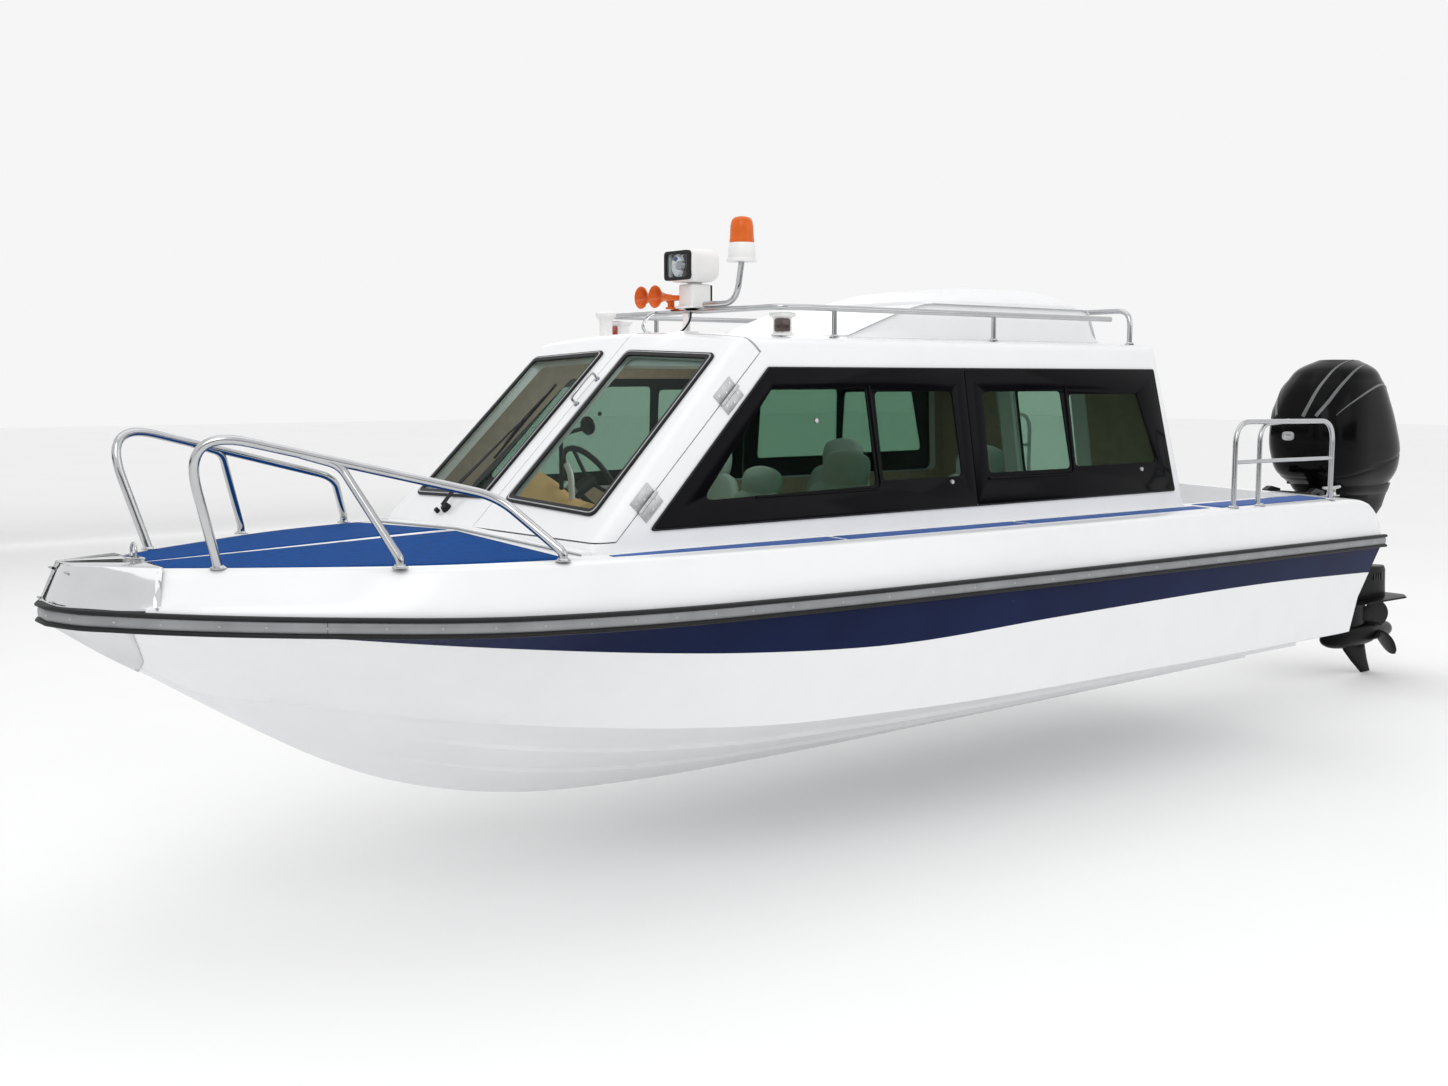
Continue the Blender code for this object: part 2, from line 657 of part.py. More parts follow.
def make_rear_door():
    frame = rear_frame()
    door = slab_in(frame, "rear_door", (-REAR_DOOR_HALF, REAR_DOOR_LOW, -WALL), (REAR_DOOR_HALF, REAR_DOOR_HIGH, 0.0), GELCOAT)
    cut(door, slab_in(frame, "pane_hole", (-REAR_PANE_HALF, REAR_PANE_LOW, -0.1), (REAR_PANE_HALF, REAR_PANE_HIGH, 0.1), None,
                      CUTTERS))
    slab_in(frame, "rear_door_glass", (GAP - REAR_PANE_HALF, REAR_PANE_LOW + GAP, -0.015 - GLASS),
            (REAR_PANE_HALF - GAP, REAR_PANE_HIGH - GAP, -0.015), TINTED)
    return door


def make_windscreen(side, name):
    frame = front_frame(side)
    outer = rounded_loop(WINDSCREEN, 0.05)
    inner = rounded_loop(shrunk(WINDSCREEN, WINDSCREEN_RIM), 0.03)
    outline(f"windscreen_seal_{name}", outer, 0.010, at_depth(frame, 0.005 + GAP), RUBBER, (inner,))
    pane = rounded_loop(shrunk(WINDSCREEN, WINDSCREEN_RIM / 2 + GAP), 0.04)
    outline(f"windscreen_glass_{name}", pane, GLASS, at_depth(frame, -GLASS / 2), TINTED)


def make_side_glass(side, name):
    frame = side_frame(side)
    (jx1, jz1), (jx0, jz0) = SIDE_JOINT
    split = 0.002
    front = [SIDE_GLASS[0], (jx0 - split, jz0), (jx1 - split, jz1), SIDE_GLASS[3]]
    rear = [(jx0 + split, jz0), SIDE_GLASS[1], SIDE_GLASS[2], (jx1 + split, jz1)]
    for part, edge, openings in (("front", front, SIDE_OPENINGS_FRONT), ("rear", rear, SIDE_OPENINGS_REAR)):
        holes = [rounded_loop(opening, 0.02) for opening in openings]
        outline(f"side_glass_{part}_{name}", rounded_loop(edge, 0.008, 2), GLASS,
                at_depth(frame, GLASS / 2 + GAP), FRIT, holes)
    pane = rounded_loop(shrunk(SIDE_GLASS, 0.0356), 0.04)
    outline(f"side_pane_{name}", pane, 0.004, at_depth(frame, -0.002), TINTED)


# Roof
TRUNK_HALF = 0.49
TRUNK_FRONT = -0.15
TRUNK_BACK = 1.50
TRUNK_TOP = 1.66
HATCH_FRONT = 0.38
HATCH_BACK = 1.50
HATCH_HALF = 0.44


def trunk_hole():
    return box("hatch_hole", (-0.32, 0.62, 1.2), (0.32, 1.28, 1.9), collection=CUTTERS)


def make_trunk():
    rings = []
    for x in (-TRUNK_HALF, TRUNK_HALF):
        rings.append([(x, TRUNK_FRONT, 1.38), (x, TRUNK_FRONT, 1.50), (x, HATCH_FRONT - 0.05, TRUNK_TOP),
                      (x, TRUNK_BACK - 0.07, TRUNK_TOP), (x, TRUNK_BACK, 1.38)])
    trunk = loft("roof_trunk", rings, GELCOAT)
    cut(trunk, cabin_solid("roof_below", GAP, LEDGE_Z, CUTTERS))
    return cut(trunk, trunk_hole())


def make_hatch():
    """Domed lid of the roof trunk."""
    middle = (HATCH_FRONT + HATCH_BACK) / 2
    reach = (HATCH_BACK - HATCH_FRONT) / 2
    floor = TRUNK_TOP + GAP
    rings = []
    for share in (-1.0, -0.8, -0.45, 0.0, 0.45, 0.8, 1.0):
        x = share * HATCH_HALF
        rise = 0.015 + 0.085 * (1 - abs(share)**2.2)
        line = [(x, middle - reach, floor)]
        for k in (-1.0, -0.75, -0.4, 0.0, 0.4, 0.75, 1.0):
            line.append((x, middle + k * reach, floor + 0.018 + rise * (1 - abs(k)**2.0) * 0.9))
        line.append((x, middle + reach, floor))
        rings.append(line)
    return loft("roof_hatch", rings, GELCOAT)


RAIL_TUBE = 0.0125
RAIL_Z = 1.612
RAIL_X = 0.61
RAIL_Y = -0.65
HOOP_FOOT = (0.635, 1.54)


def make_roof_rail():
    """Front bar and two side rails on posts, in one welded frame."""
    path = bent([(RAIL_X, 1.42, RAIL_Z), (RAIL_X, RAIL_Y, RAIL_Z), (-RAIL_X, RAIL_Y, RAIL_Z), (-RAIL_X, 1.42, RAIL_Z)], 0.06)
    rail = tube("roof_rail", path, RAIL_TUBE)
    for i, (x, y) in enumerate((side * RAIL_X, y) for side in (1, -1) for y in (-0.36, 0.595)):
        foot = seat_z("cabin_shell", x, y, 0.023)
        unite(rail, cylinder(f"post{i}", (x, y, foot), (x, y, RAIL_Z), 0.011, sides=8))
        unite(rail, cylinder(f"foot{i}", (x, y, foot), (x, y, foot + 0.006), 0.022, sides=12))
    return rail


def make_aft_hoop():
    x, y = HOOP_FOOT
    foot = seat_z("cabin_shell", x, y, 0.025)
    path = bent([(x, y, foot), (x, y, 1.655), (-x, y, 1.655), (-x, y, foot)], 0.09)
    hoop = tube("roof_hoop", path, RAIL_TUBE)
    for side in (1, -1):
        unite(hoop, cylinder("hoop_foot", (side * x, y, foot), (side * x, y, foot + 0.005), 0.024, sides=12))
    return hoop


# Deck fittings
def make_bow_rail():
    tube_radius = 0.016
    feet = ((0.345, -2.797), (0.69, -2.33), (0.865, -1.82))
    deck = [seat_z("deck_moulding", x, y, 0.038) for x, y in feet]
    path = bent([(*feet[0], deck[0] + 0.004), (0.41, -2.925, 1.182), (0.66, -1.95, 0.933), (*feet[2], deck[2] + 0.03),
                 (*feet[2], deck[2])], 0.19, 8)
    rail = tube("bow_rail_port", path, tube_radius)
    leg = bent([(0.500, -2.575, 1.090), (0.530, -2.455, 1.052), (*feet[1], deck[1] + 0.03),
                (*feet[1], deck[1])], 0.08)
    unite(rail, tube("leg", leg, tube_radius * 0.9))
    for (x, y), z in zip(feet, deck):
        unite(rail, cylinder("flange", (x, y, z), (x, y, z + 0.008), 0.035, sides=12))
    mirrored(rail, "bow_rail_starboard")


def seat_z(name, x, y, reach):
    """Height at which a round foot of the given radius stands just over a part."""
    ground = bpy.data.objects[name]
    heights = []
    for k in range(17):
        angle = 2 * math.pi * k / 16
        out = reach if k < 16 else 0.0
        start = Vector((x + out * math.cos(angle), y + out * math.sin(angle), 3.0))
        hit, place, _, _ = ground.ray_cast(start, Vector((0, 0, -1)))
        if hit:
            heights.append(place.z)
    return max(heights) + 2 * GAP


AFT_RAIL_FEET = ((0.985, 1.92), (0.99, 2.14), (1.0, 2.77))
AFT_RAIL_TOP = 1.125


def make_aft_rail():
    radius = 0.0125
    lows = [seat_z("deck_moulding", x, y, 0.027) for x, y in AFT_RAIL_FEET]
    base, top = max(lows), AFT_RAIL_TOP
    front, middle, back = AFT_RAIL_FEET
    path = bent([(*front, base), (*front, top), (*back, top - 0.01), (*back, base)], 0.11, 5)
    rail = tube("aft_rail_port", path, radius)
    branch = bent([(middle[0] - 0.012, middle[1], base), (middle[0] - 0.012, middle[1], top - 0.015), (0.972, 2.40, top - 0.004)],
                  0.09, 5)
    unite(rail, tube("branch", branch, radius * 0.95))
    unite(rail, tube("middle", [(*front, 0.93), (*middle, 0.93), (*back, 0.925)], radius * 0.8))
    for (x, y), low in zip(AFT_RAIL_FEET, lows):
        unite(rail, cylinder("flange", (x, y, low), (x, y, base + 0.008), 0.026, sides=12))
    mirrored(rail, "aft_rail_starboard")


def make_cleat():
    x, y = 0.90, 2.96
    z = seat_z("deck_moulding", x, y, 0.056)
    cleat = box("cleat_port", (x - 0.02, y - 0.05, z), (x + 0.02, y + 0.05, z + 0.008), STEEL)
    for dy in (-0.028, 0.028):
        unite(cleat, cylinder("stud", (x, y + dy, z + 0.004), (x, y + dy, z + 0.045), 0.008, sides=8))
    unite(cleat, tube("horn", [(x, y - 0.09, z + 0.055), (x, y - 0.05, z + 0.045), (x, y + 0.05, z + 0.045),
                               (x, y + 0.09, z + 0.055)], 0.009))
    mirrored(cleat, "cleat_starboard")


# Lights and horns
SEARCHLIGHT = (0.05, -0.64)
BEACON = (0.35, -0.63)
VENT = (-0.46, -0.745)
BAR_TOP = RAIL_Z + RAIL_TUBE


def make_searchlight():
    x, y = SEARCHLIGHT
    pedestal = box("searchlight_pedestal", (x - 0.05, y - 0.05, BAR_TOP + GAP), (x + 0.05, y + 0.05, 1.724), PLASTIC, 0.01)
    unite(pedestal, box("plate", (x - 0.06, y - 0.06, BAR_TOP + GAP), (x + 0.06, y + 0.06, BAR_TOP + 0.010), PLASTIC))
    head = box("searchlight_head", (x - 0.10, y - 0.095, 1.731), (x + 0.10, y + 0.075, 1.866), PLASTIC, 0.035)
    cut(head, box("lens_recess", (x - 0.072, y - 0.15, 1.750), (x + 0.072, y - 0.07, 1.847), collection=CUTTERS))
    spigot = cylinder("spigot", (x, y, 1.7245), (x, y, 1.75), 0.03)
    unite(head, spigot)


def make_beacon():
    x, y = BEACON
    height = BAR_TOP + 0.0125 + GAP
    path = bent([(0.13, RAIL_Y, height), (x - 0.01, RAIL_Y, height), (x, y, 1.805)], 0.10, 6)
    pole = tube("beacon_pole", path, 0.0125)
    base = 1.800
    unite(pole, turned("beacon_base", [(0.0, base + 0.075), (0.052, base + 0.075), (0.056, base + 0.015), (0.060, base + 0.012),
                           (0.060, base), (0.0, base)], (x, y, 0), PLASTIC))
    low = base + 0.0753
    turned("beacon_lens", [(0.0, low + 0.105), (0.03, low + 0.102), (0.045, low + 0.085), (0.050, low + 0.0),
                           (0.0, low)], (x, y, 0), AMBER)


def make_horns():
    profile = [(0.0, 0.16), (0.046, 0.16), (0.048, 0.155), (0.030, 0.135), (0.016, 0.11), (0.011, 0.07), (0.012, 0.02),
               (0.022, 0.018), (0.022, 0.0), (0.0, 0.0)]
    z = BAR_TOP + 0.045
    horn = turned("horns", profile, (-0.13, RAIL_Y, z), AMBER, (0, -1, 0), 14)
    unite(horn, turned("horn2", profile, (-0.03, RAIL_Y, z), AMBER, (0, -1, 0), 14))
    unite(horn, box("horn_bar", (-0.14, RAIL_Y - 0.03, z - 0.012), (-0.02, RAIL_Y - 0.005, z + 0.012), AMBER))
    unite(horn, box("horn_foot", (-0.105, RAIL_Y - 0.03, BAR_TOP + GAP), (-0.055, RAIL_Y + 0.03, BAR_TOP + 0.010), AMBER))
    unite(horn, box("horn_stem", (-0.09, RAIL_Y - 0.03, BAR_TOP + 0.004), (-0.07, RAIL_Y - 0.005, z), AMBER))


def make_nav_light(side, name, colour):
    x, y = side * 0.56, -0.60
    base = seat_z("cabin_shell", x, y, 0.045)
    housing = box(f"nav_light_{name}", (x - 0.045, y - 0.035, base), (x + 0.045, y + 0.05, base + 0.085), PLASTIC, 0.008)
    unite(housing, box("lens", (x - 0.035, y - 0.045, base + 0.012), (x + 0.035, y, base + 0.065), colour, 0.006))


def make_vent():
    x, y = VENT
    base = seat_z("cabin_shell", x, y, 0.034)
    turned("roof_vent", [(0.0, base + 0.118), (0.042, base + 0.116), (0.046, base + 0.106), (0.030, base + 0.085),
                         (0.032, base), (0.0, base)], (x, y, 0), PLASTIC)


# Door hinges: heights on the seam, and distances up the rear wall
PIN_OUT = 0.010
KNUCKLE = 0.0095
FRONT_HINGES = (0.893, 1.268)
REAR_HINGES = (0.25, 1.05)


def slab_in(frame, name, low, high, mat, collection=BOAT):
    obj = box(name, low, high, mat, collection=collection)
    obj.data.transform(frame)
    if frame.determinant() < 0:
        obj.data.flip_normals()
    return obj


def add_hinge(frame, door, wall):
    """A butt hinge on the frame's Y axis: the door lies towards -X and the wall towards +X."""
    def knuckle(target, low, high):
        ends = [frame @ Vector((0, v, PIN_OUT)) for v in (low, high)]
        unite(target, cylinder("knuckle", *ends, KNUCKLE, STEEL, 12))
    knuckle(door, -0.02, 0.02)
    unite(door, slab_in(frame, "leaf", (-0.05, -0.018, -0.006), (-0.003, 0.018, 0.006), STEEL))
    for low, high in ((-0.05, -0.0203), (0.0203, 0.05)):
        knuckle(wall, low, high)
        unite(wall, slab_in(frame, "leaf", (0.003, low + 0.001, -0.006), (0.05, high - 0.001, 0.006), STEEL))


def make_hinges(cabin, front_door, rear_door):
    for z in FRONT_HINGES:
        add_hinge(seam_frame(z), front_door, cabin)
    for v in REAR_HINGES:
        add_hinge(rear_frame() @ Matrix.Translation((REAR_DOOR_HALF + DOOR_GAP / 2, v, 0)), rear_door, cabin)


# Fittings on the cabin front
def make_wiper():
    frame = front_frame(-1)
    pivot = frame @ Vector((0.36, 0.085, GAP))
    top = frame @ Vector((0.36, 0.085, 0.045))
    wiper = cylinder("wiper", pivot, top, 0.018, DARK_METAL, 12)
    arm = [frame @ Vector(p) for p in ((0.36, 0.085, 0.038), (0.33, 0.26, 0.045), (0.22, 0.52, 0.024))]
    unite(wiper, tube("arm", arm, 0.007, DARK_METAL))
    blade = [frame @ Vector(p) for p in ((0.34, 0.30, 0.019), (0.12, 0.70, 0.019))]
    unite(wiper, tube("blade", blade, 0.007, DARK_METAL))


# Inside
WHEEL_CENTRE = (-0.36, -0.90, 0.89)
WHEEL_AXIS = (0.0, 0.85, 0.53)


def make_console():
    """Tan dashboard and console on the starboard side."""
    profile = [(-1.345, SOLE_Z + GAP), (-1.345, 0.84), (-1.15, 0.95), (-0.98, 0.86), (-1.02, 0.70), (-1.08, SOLE_Z + GAP)]
    rings = [[(x, y, z) for y, z in profile] for x in (-0.70, 0.0)]
    console = bevel(loft("console", rings, DASH), 0.02, 2, 30)
    hub = Vector(WHEEL_CENTRE)
    axis = Vector(WHEEL_AXIS).normalized()
    return cut(console, cylinder("shaft_hole", hub - axis * 0.14, hub + axis * 0.05, 0.0305, sides=24, collection=CUTTERS))


def make_steering_wheel():
    centre = Vector(WHEEL_CENTRE)
    axis = Vector(WHEEL_AXIS).normalized()
    turn = Matrix.Translation(centre) @ axis.to_track_quat("Z", "Y").to_matrix().to_4x4()
    count, radius, rim = 24, 0.17, 0.013
    rings = []
    for i in range(count):
        spin = turn @ Matrix.Rotation(2 * math.pi * i / count, 4, "Z")
        rings.append([spin @ Vector((radius + rim * math.cos(b), 0, rim * math.sin(b)))
                      for b in (2 * math.pi * k / 8 for k in range(8))])
    bm = bmesh.new()
    rows = [[bm.verts.new(point) for point in ring] for ring in rings]
    for i in range(count):
        first, second = rows[i], rows[(i + 1) % count]
        for k in range(8):
            n = (k + 1) % 8
            bm.faces.new((first[k], first[n], second[n], second[k]))
    bmesh.ops.recalc_face_normals(bm, faces=bm.faces)
    wheel = rounded(from_bmesh("steering_wheel", bm, RUBBER))
    for i in range(3):
        angle = math.pi / 2 + i * 2 * math.pi / 3
        tip = turn @ Vector((radius * math.cos(angle), radius * math.sin(angle), 0))
        unite(wheel, cylinder("spoke", turn @ Vector((0, 0, -0.01)), tip, 0.009, sides=8))
    unite(wheel, cylinder("hub", turn @ Vector((0, 0, -0.12)), turn @ Vector((0, 0, 0.012)), 0.03, sides=24))
    return wheel


def make_seats(side, name):
    """A plinth with two forward-facing seats along one side."""
    inner, outer = 0.20, 0.72
    low = SOLE_Z + GAP
    xs = sorted((side * inner, side * outer))
    box(f"seat_plinth_{name}", (xs[0], -0.66, low), (xs[1], 0.72, 0.38), GELCOAT, 0.015)
    for row, y in (("front", -0.42), ("rear", 0.42)):
        seat = box(f"seat_{row}_{name}", (xs[0] + 0.02, y - 0.20, 0.38 + GAP), (xs[1] - 0.02, y + 0.22, 0.50), SEAT, 0.03)
        back = loft("back", [[(x, y + 0.10, 0.44), (x, y + 0.22, 0.44), (x, y + 0.30, 0.90), (x, y + 0.22, 0.90)]
                             for x in (xs[0] + 0.03, xs[1] - 0.03)], SEAT)
        bevel(back, 0.03)
        unite(seat, back)
        middle = (xs[0] + xs[1]) / 2
        head = box("head", (middle - 0.14, y + 0.20, 0.86), (middle + 0.14, y + 0.30, 1.04), SEAT, 0.035)
        unite(seat, head)


# Outboard
def make_pod():
    """Engine bracket behind the transom."""
    def transom(z):
        return STERN_Y + TRANSOM_RAKE * (z - TRANSOM_Z) + GAP
    profile = [(transom(-0.20), -0.20), (3.93, -0.06), (CLAMP_Y, 0.02), (CLAMP_Y, 0.50), (CLAMP_Y - 0.09, 0.50),
               (CLAMP_Y - 0.11, 0.34), (transom(0.34), 0.34)]
    return loft("engine_bracket", [[(x, y, z) for y, z in profile] for x in (-0.33, 0.33)], GELCOAT)


def make_clamp():
    """Clamp bracket bolted to the engine bracket, with the tilt tube's two ears."""
    y0 = CLAMP_Y + GAP
    clamp = box("clamp_bracket", (-0.17, y0, 0.12), (0.17, y0 + 0.03, 0.52), DARK_METAL)
    for side in (-1, 1):
        x = side * 0.15
        ear = loft("ear", [[(px, y0 + 0.01, 0.14), (px, y0 + 0.05, 0.20), (px, y0 + 0.15, 0.56), (px, y0 + 0.15, 0.64),
                            (px, y0 + 0.05, 0.66), (px, y0, 0.64), (px, y0, 0.50)] for px in (x - 0.018, x + 0.018)],
                   DARK_METAL)
        unite(clamp, ear)
        _, ty, tz = TILT_AXIS
        unite(clamp, cylinder("boss", (side * 0.16, ty, tz), (side * 0.182, ty, tz), 0.03))
    return clamp


def make_swivel():
    """Swivel bracket, which tilts on the clamp bracket and carries the steering pivot."""
    _, ty, tz = TILT_AXIS
    half = 0.15 - 0.018 - 0.0004
    swivel = cylinder("swivel_bracket", (-half, ty, tz), (half, ty, tz), 0.032, DARK_METAL, 16)
    profile = [(ty - 0.01, tz - 0.025), (ty, tz + 0.02), (STEER_Y + 0.03, tz - 0.02), (STEER_Y + 0.03, 0.02),
               (STEER_Y - 0.04, 0.02), (ty + 0.06, 0.40)]
    unite(swivel, loft("web", [[(x, y, z) for y, z in profile] for x in (-0.055, 0.055)], DARK_METAL))
    return cut(swivel, cylinder("pin_hole", (0, STEER_Y, -0.1), (0, STEER_Y, 0.8), STEER_PIN + 0.0005, sides=24,
                                collection=CUTTERS))


def outboard_ring(z, front, back, half, power=2.6, count=20):
    """Closed smooth ring of an outboard section at height z."""
    middle, reach = (front + back) / 2, (back - front) / 2
    ring = []
    for i in range(count):
        angle = 2 * math.pi * i / count
        c, s = math.cos(angle), math.sin(angle)
        ring.append((half * math.copysign(abs(c)**(2 / power), c), middle + reach * math.copysign(abs(s)**(2 / power), s), z))
    return ring


def make_midsection():
    """Leg: lower cowl pan, exhaust housing, plate, gearcase and skeg in one solid."""
    rings = [outboard_ring(0.66, 4.30, 5.02, 0.235), outboard_ring(0.60, 4.32, 5.05, 0.20),
             outboard_ring(0.595, STEER_Y + 0.05, 5.05, 0.19), outboard_ring(0.50, STEER_Y + 0.08, 5.06, 0.15),
             outboard_ring(0.34, STEER_Y + 0.12, 4.94, 0.10), outboard_ring(0.10, 4.56, 4.98, 0.075),
             outboard_ring(0.08, 4.58, 5.24, 0.07), outboard_ring(-0.13, 4.62, 5.27, 0.055)]
    leg = loft("outboard_leg", rings, GLOSS_BLACK)
    plate = outline("plate", [(-0.05, 4.60), (-0.13, 4.85), (-0.14, 5.33), (-0.07, 5.43), (0.07, 5.43), (0.14, 5.33),
                              (0.13, 4.85), (0.05, 4.60)], 0.012, Matrix.Translation((0, 0, -0.134)), GLOSS_BLACK)
    unite(leg, plate)
    strut = loft("strut", [outboard_ring(-0.12, 4.66, 5.03, 0.045, 2.2, 12), outboard_ring(-0.36, 4.66, 5.03, 0.04, 2.2, 12)],
                 GLOSS_BLACK)
    unite(leg, strut)
    torpedo = turned("torpedo", [(0.0, 0.57), (0.03, 0.555), (0.06, 0.50), (0.078, 0.40), (0.078, 0.10), (0.066, 0.0),
                                 (0.0, 0.0)], (0, 5.10, PROP_Z), GLOSS_BLACK, (0, -1, 0), 16)
    unite(leg, torpedo)
    skeg = loft("skeg", [[(-0.012, 4.74, -0.40), (0.012, 4.74, -0.40), (0.012, 5.06, -0.40), (-0.012, 5.06, -0.40)],
                         [(-0.006, 5.03, -0.632), (0.006, 5.03, -0.632), (0.006, 5.15, -0.632), (-0.006, 5.15, -0.632)]],
                GLOSS_BLACK)
    unite(leg, skeg)
    unite(leg, box("lower_yoke", (-0.04, STEER_Y - 0.035, -0.03), (0.04, 4.70, 0.0145), GLOSS_BLACK))
    return unite(leg, cylinder("steer_pin", (0, STEER_Y, -0.02), (0, STEER_Y, 0.62), STEER_PIN, sides=24))


def make_cowl():
    rows = ((0.6603, 4.30, 4.985, 0.235, 3.0), (0.72, 4.22, 5.02, 0.27, 3.2), (0.86, 4.16, 5.04, 0.295, 3.2),
            (1.02, 4.15, 4.98, 0.295, 3.0), (1.18, 4.19, 4.90, 0.28, 2.8), (1.32, 4.27, 4.84, 0.24, 2.6),
            (1.41, 4.36, 4.76, 0.18, 2.4), (1.45, 4.44, 4.68, 0.10, 2.2))
    cowl = loft("engine_cowl", [outboard_ring(z, a, b, h, p, 24) for z, a, b, h, p in rows], GLOSS_BLACK)
    room = box("engine_room", (-0.19, 4.32, 0.5), (0.19, 4.86, 1.22), collection=CUTTERS)
    cut(cowl, room)
    box("engine_block", (-0.18, 4.33, 0.6603), (0.18, 4.85, 1.20), DARK_METAL)


def make_propeller():
    hub = turned("propeller", [(0.0, 0.235), (0.045, 0.233), (0.052, 0.215), (0.062, 0.02), (0.060, 0.0), (0.0, 0.0)],
                 (0, 5.1005, PROP_Z), DARK_METAL, (0, 1, 0), 18)
    for i in range(3):
        spin = Matrix.Translation((0, PROP_Y, PROP_Z)) @ Matrix.Rotation(2 * math.pi * i / 3, 4, "Y")
        rings = []
        for reach, half, pitch in ((0.03, 0.055, 42), (0.09, 0.085, 36), (0.15, 0.085, 30), (0.19, 0.05, 26), (0.205, 0.012, 24)):
            turn = Matrix.Rotation(math.radians(pitch), 4, "Z")
            rings.append([spin @ turn @ Vector((a * half, b * 0.005, reach))
                          for a, b in ((-1, 0), (-0.4, 1), (0.4, 1), (1, 0), (0.4, -1), (-0.4, -1))])
        unite(hub, loft("blade", rings, DARK_METAL))
    return hub


def build():
    make_hull()
    make_deck()
    make_rub_rail()
    cabin = make_cabin()
    make_hinges(cabin, make_front_door(), make_rear_door())
    for side, name in ((1, "port"), (-1, "starboard")):
        make_windscreen(side, name)
        make_side_glass(side, name)
        make_seats(side, name)
    make_nav_light(1, "port", RED)
    make_nav_light(-1, "starboard", RED)
    make_trunk()
    make_hatch()
    make_roof_rail()
    make_aft_hoop()
    make_bow_rail()
    make_aft_rail()
    make_cleat()
    make_searchlight()
    make_beacon()
    make_horns()
    make_vent()
    make_wiper()
    make_console()
    make_steering_wheel()
    make_pod()
    make_clamp()
    make_swivel()
    make_midsection()
    make_cowl()
    make_propeller()


build()
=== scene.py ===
import math

import bmesh
import bpy
import numpy as np
from mathutils import Matrix, Vector, noise


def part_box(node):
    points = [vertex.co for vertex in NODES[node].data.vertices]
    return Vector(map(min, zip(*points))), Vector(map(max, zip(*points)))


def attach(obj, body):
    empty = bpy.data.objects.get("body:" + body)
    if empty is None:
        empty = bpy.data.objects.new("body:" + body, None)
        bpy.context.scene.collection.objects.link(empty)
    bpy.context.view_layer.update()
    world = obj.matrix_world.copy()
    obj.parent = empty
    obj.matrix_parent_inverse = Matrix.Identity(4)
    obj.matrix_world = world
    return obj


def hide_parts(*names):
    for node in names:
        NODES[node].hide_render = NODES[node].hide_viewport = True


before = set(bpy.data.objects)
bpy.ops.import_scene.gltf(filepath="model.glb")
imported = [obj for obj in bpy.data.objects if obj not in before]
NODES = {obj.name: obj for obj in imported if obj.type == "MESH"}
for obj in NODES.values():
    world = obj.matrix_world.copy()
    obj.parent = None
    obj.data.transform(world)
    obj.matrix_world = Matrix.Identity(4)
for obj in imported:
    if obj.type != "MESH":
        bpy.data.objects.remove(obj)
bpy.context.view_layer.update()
SCENE = bpy.context.scene

# Camera solved from the photograph
CAMERA_AT = (5.1, -4.5, 1.33)
CAMERA_TURN = (83.75, 0.0, 51.5)
LENS = 37.23
SENSOR = 36.0
FLOOR_Z = -0.637
WORLD_STRENGTH = 0.92
# Lights: name, place, target, width and length, power
LIGHTS = (("key", (6.5, -7.5, 7.0), (0, 0, 0.4), (6, 5), 210),
          ("fill", (9.0, 4.5, 4.0), (0, 1, 0.5), (7, 4), 60),
          ("top", (0.0, 0.0, 9.0), (0, 0, 0), (8, 12), 150),
          ("rear", (-9.0, 5.0, 6.0), (0, 1, 0.5), (6, 5), 60),
          ("inside_front", (0.1, -0.55, 1.36), (-0.3, -1.0, 0.8), (0.8, 0.5), 5),
          ("inside_rear", (0.0, 0.5, 1.40), (0, 0.4, 0.0), (0.9, 1.4), 4))
# Dark cards beyond the picture, which give polished metal its dark reflections
CARDS = (((8.0, -14.0, 0.2), (14.0, -13.9, 2.4)), ((13.0, -13.0, 0.2), (13.1, 2.0, 2.4)),
         ((-14.0, -11.0, 0.5), (-2.0, -10.9, 2.2)), ((12.0, 5.0, 0.5), (12.1, 14.0, 2.2)),
         ((-14.0, -8.0, 0.5), (-13.9, 10.0, 2.0)))

# Hull and deck, as in the solids but for the ridge of the deck
GAP = 0.0003
BOW_Y = -3.236
STERN_Y = 3.21
TRANSOM_RAKE = 0.385
TRANSOM_Z = 0.473
SOLE_Z = 0.06
COCKPIT_Z = 0.10
WELL_HALF = 0.745
WELL_FRONT = -1.35
COCKPIT_FRONT = 1.98
WELL_BACK = 2.86
LEDGE_Z = 0.60
KEEL = ((-3.236, 0.548), (-3.19, 0.515), (-3.077, 0.433), (-2.932, 0.339), (-2.571, 0.101), (-2.328, -0.045),
        (-2.09, -0.158), (-1.81, -0.25), (-1.5, -0.315), (-1.0, -0.36), (-0.3, -0.378), (1.0, -0.38),
        (3.21, -0.37))
SHEER_X = ((-3.236, 0.05), (-3.2, 0.14), (-3.09, 0.265), (-2.9, 0.425), (-2.7, 0.56), (-2.5, 0.675),
           (-2.29, 0.78), (-2.07, 0.862), (-1.8, 0.925), (-1.54, 0.967), (-0.91, 1.017), (0.17, 1.043),
           (1.53, 1.062), (3.21, 1.066))
SHEER_Z = ((-3.236, 0.578), (-2.9, 0.56), (-2.5, 0.542), (-2.07, 0.524), (-1.54, 0.512), (-0.9, 0.504),
           (0.17, 0.494), (1.5, 0.485), (3.21, 0.473))
CHINE_X = ((-3.236, 0.012), (-3.0, 0.03), (-2.78, 0.045), (-2.55, 0.13), (-2.2, 0.32), (-1.85, 0.51),
           (-1.45, 0.72), (-1.0, 0.87), (-0.3, 0.965), (1.2, 0.995), (3.21, 0.96))
CHINE_Z = ((-3.236, 0.556), (-3.0, 0.405), (-2.78, 0.268), (-2.55, 0.215), (-2.2, 0.155), (-1.85, 0.105),
           (-1.45, 0.07), (-1.0, 0.04), (-0.3, 0.02), (1.2, 0.0), (3.21, -0.022))
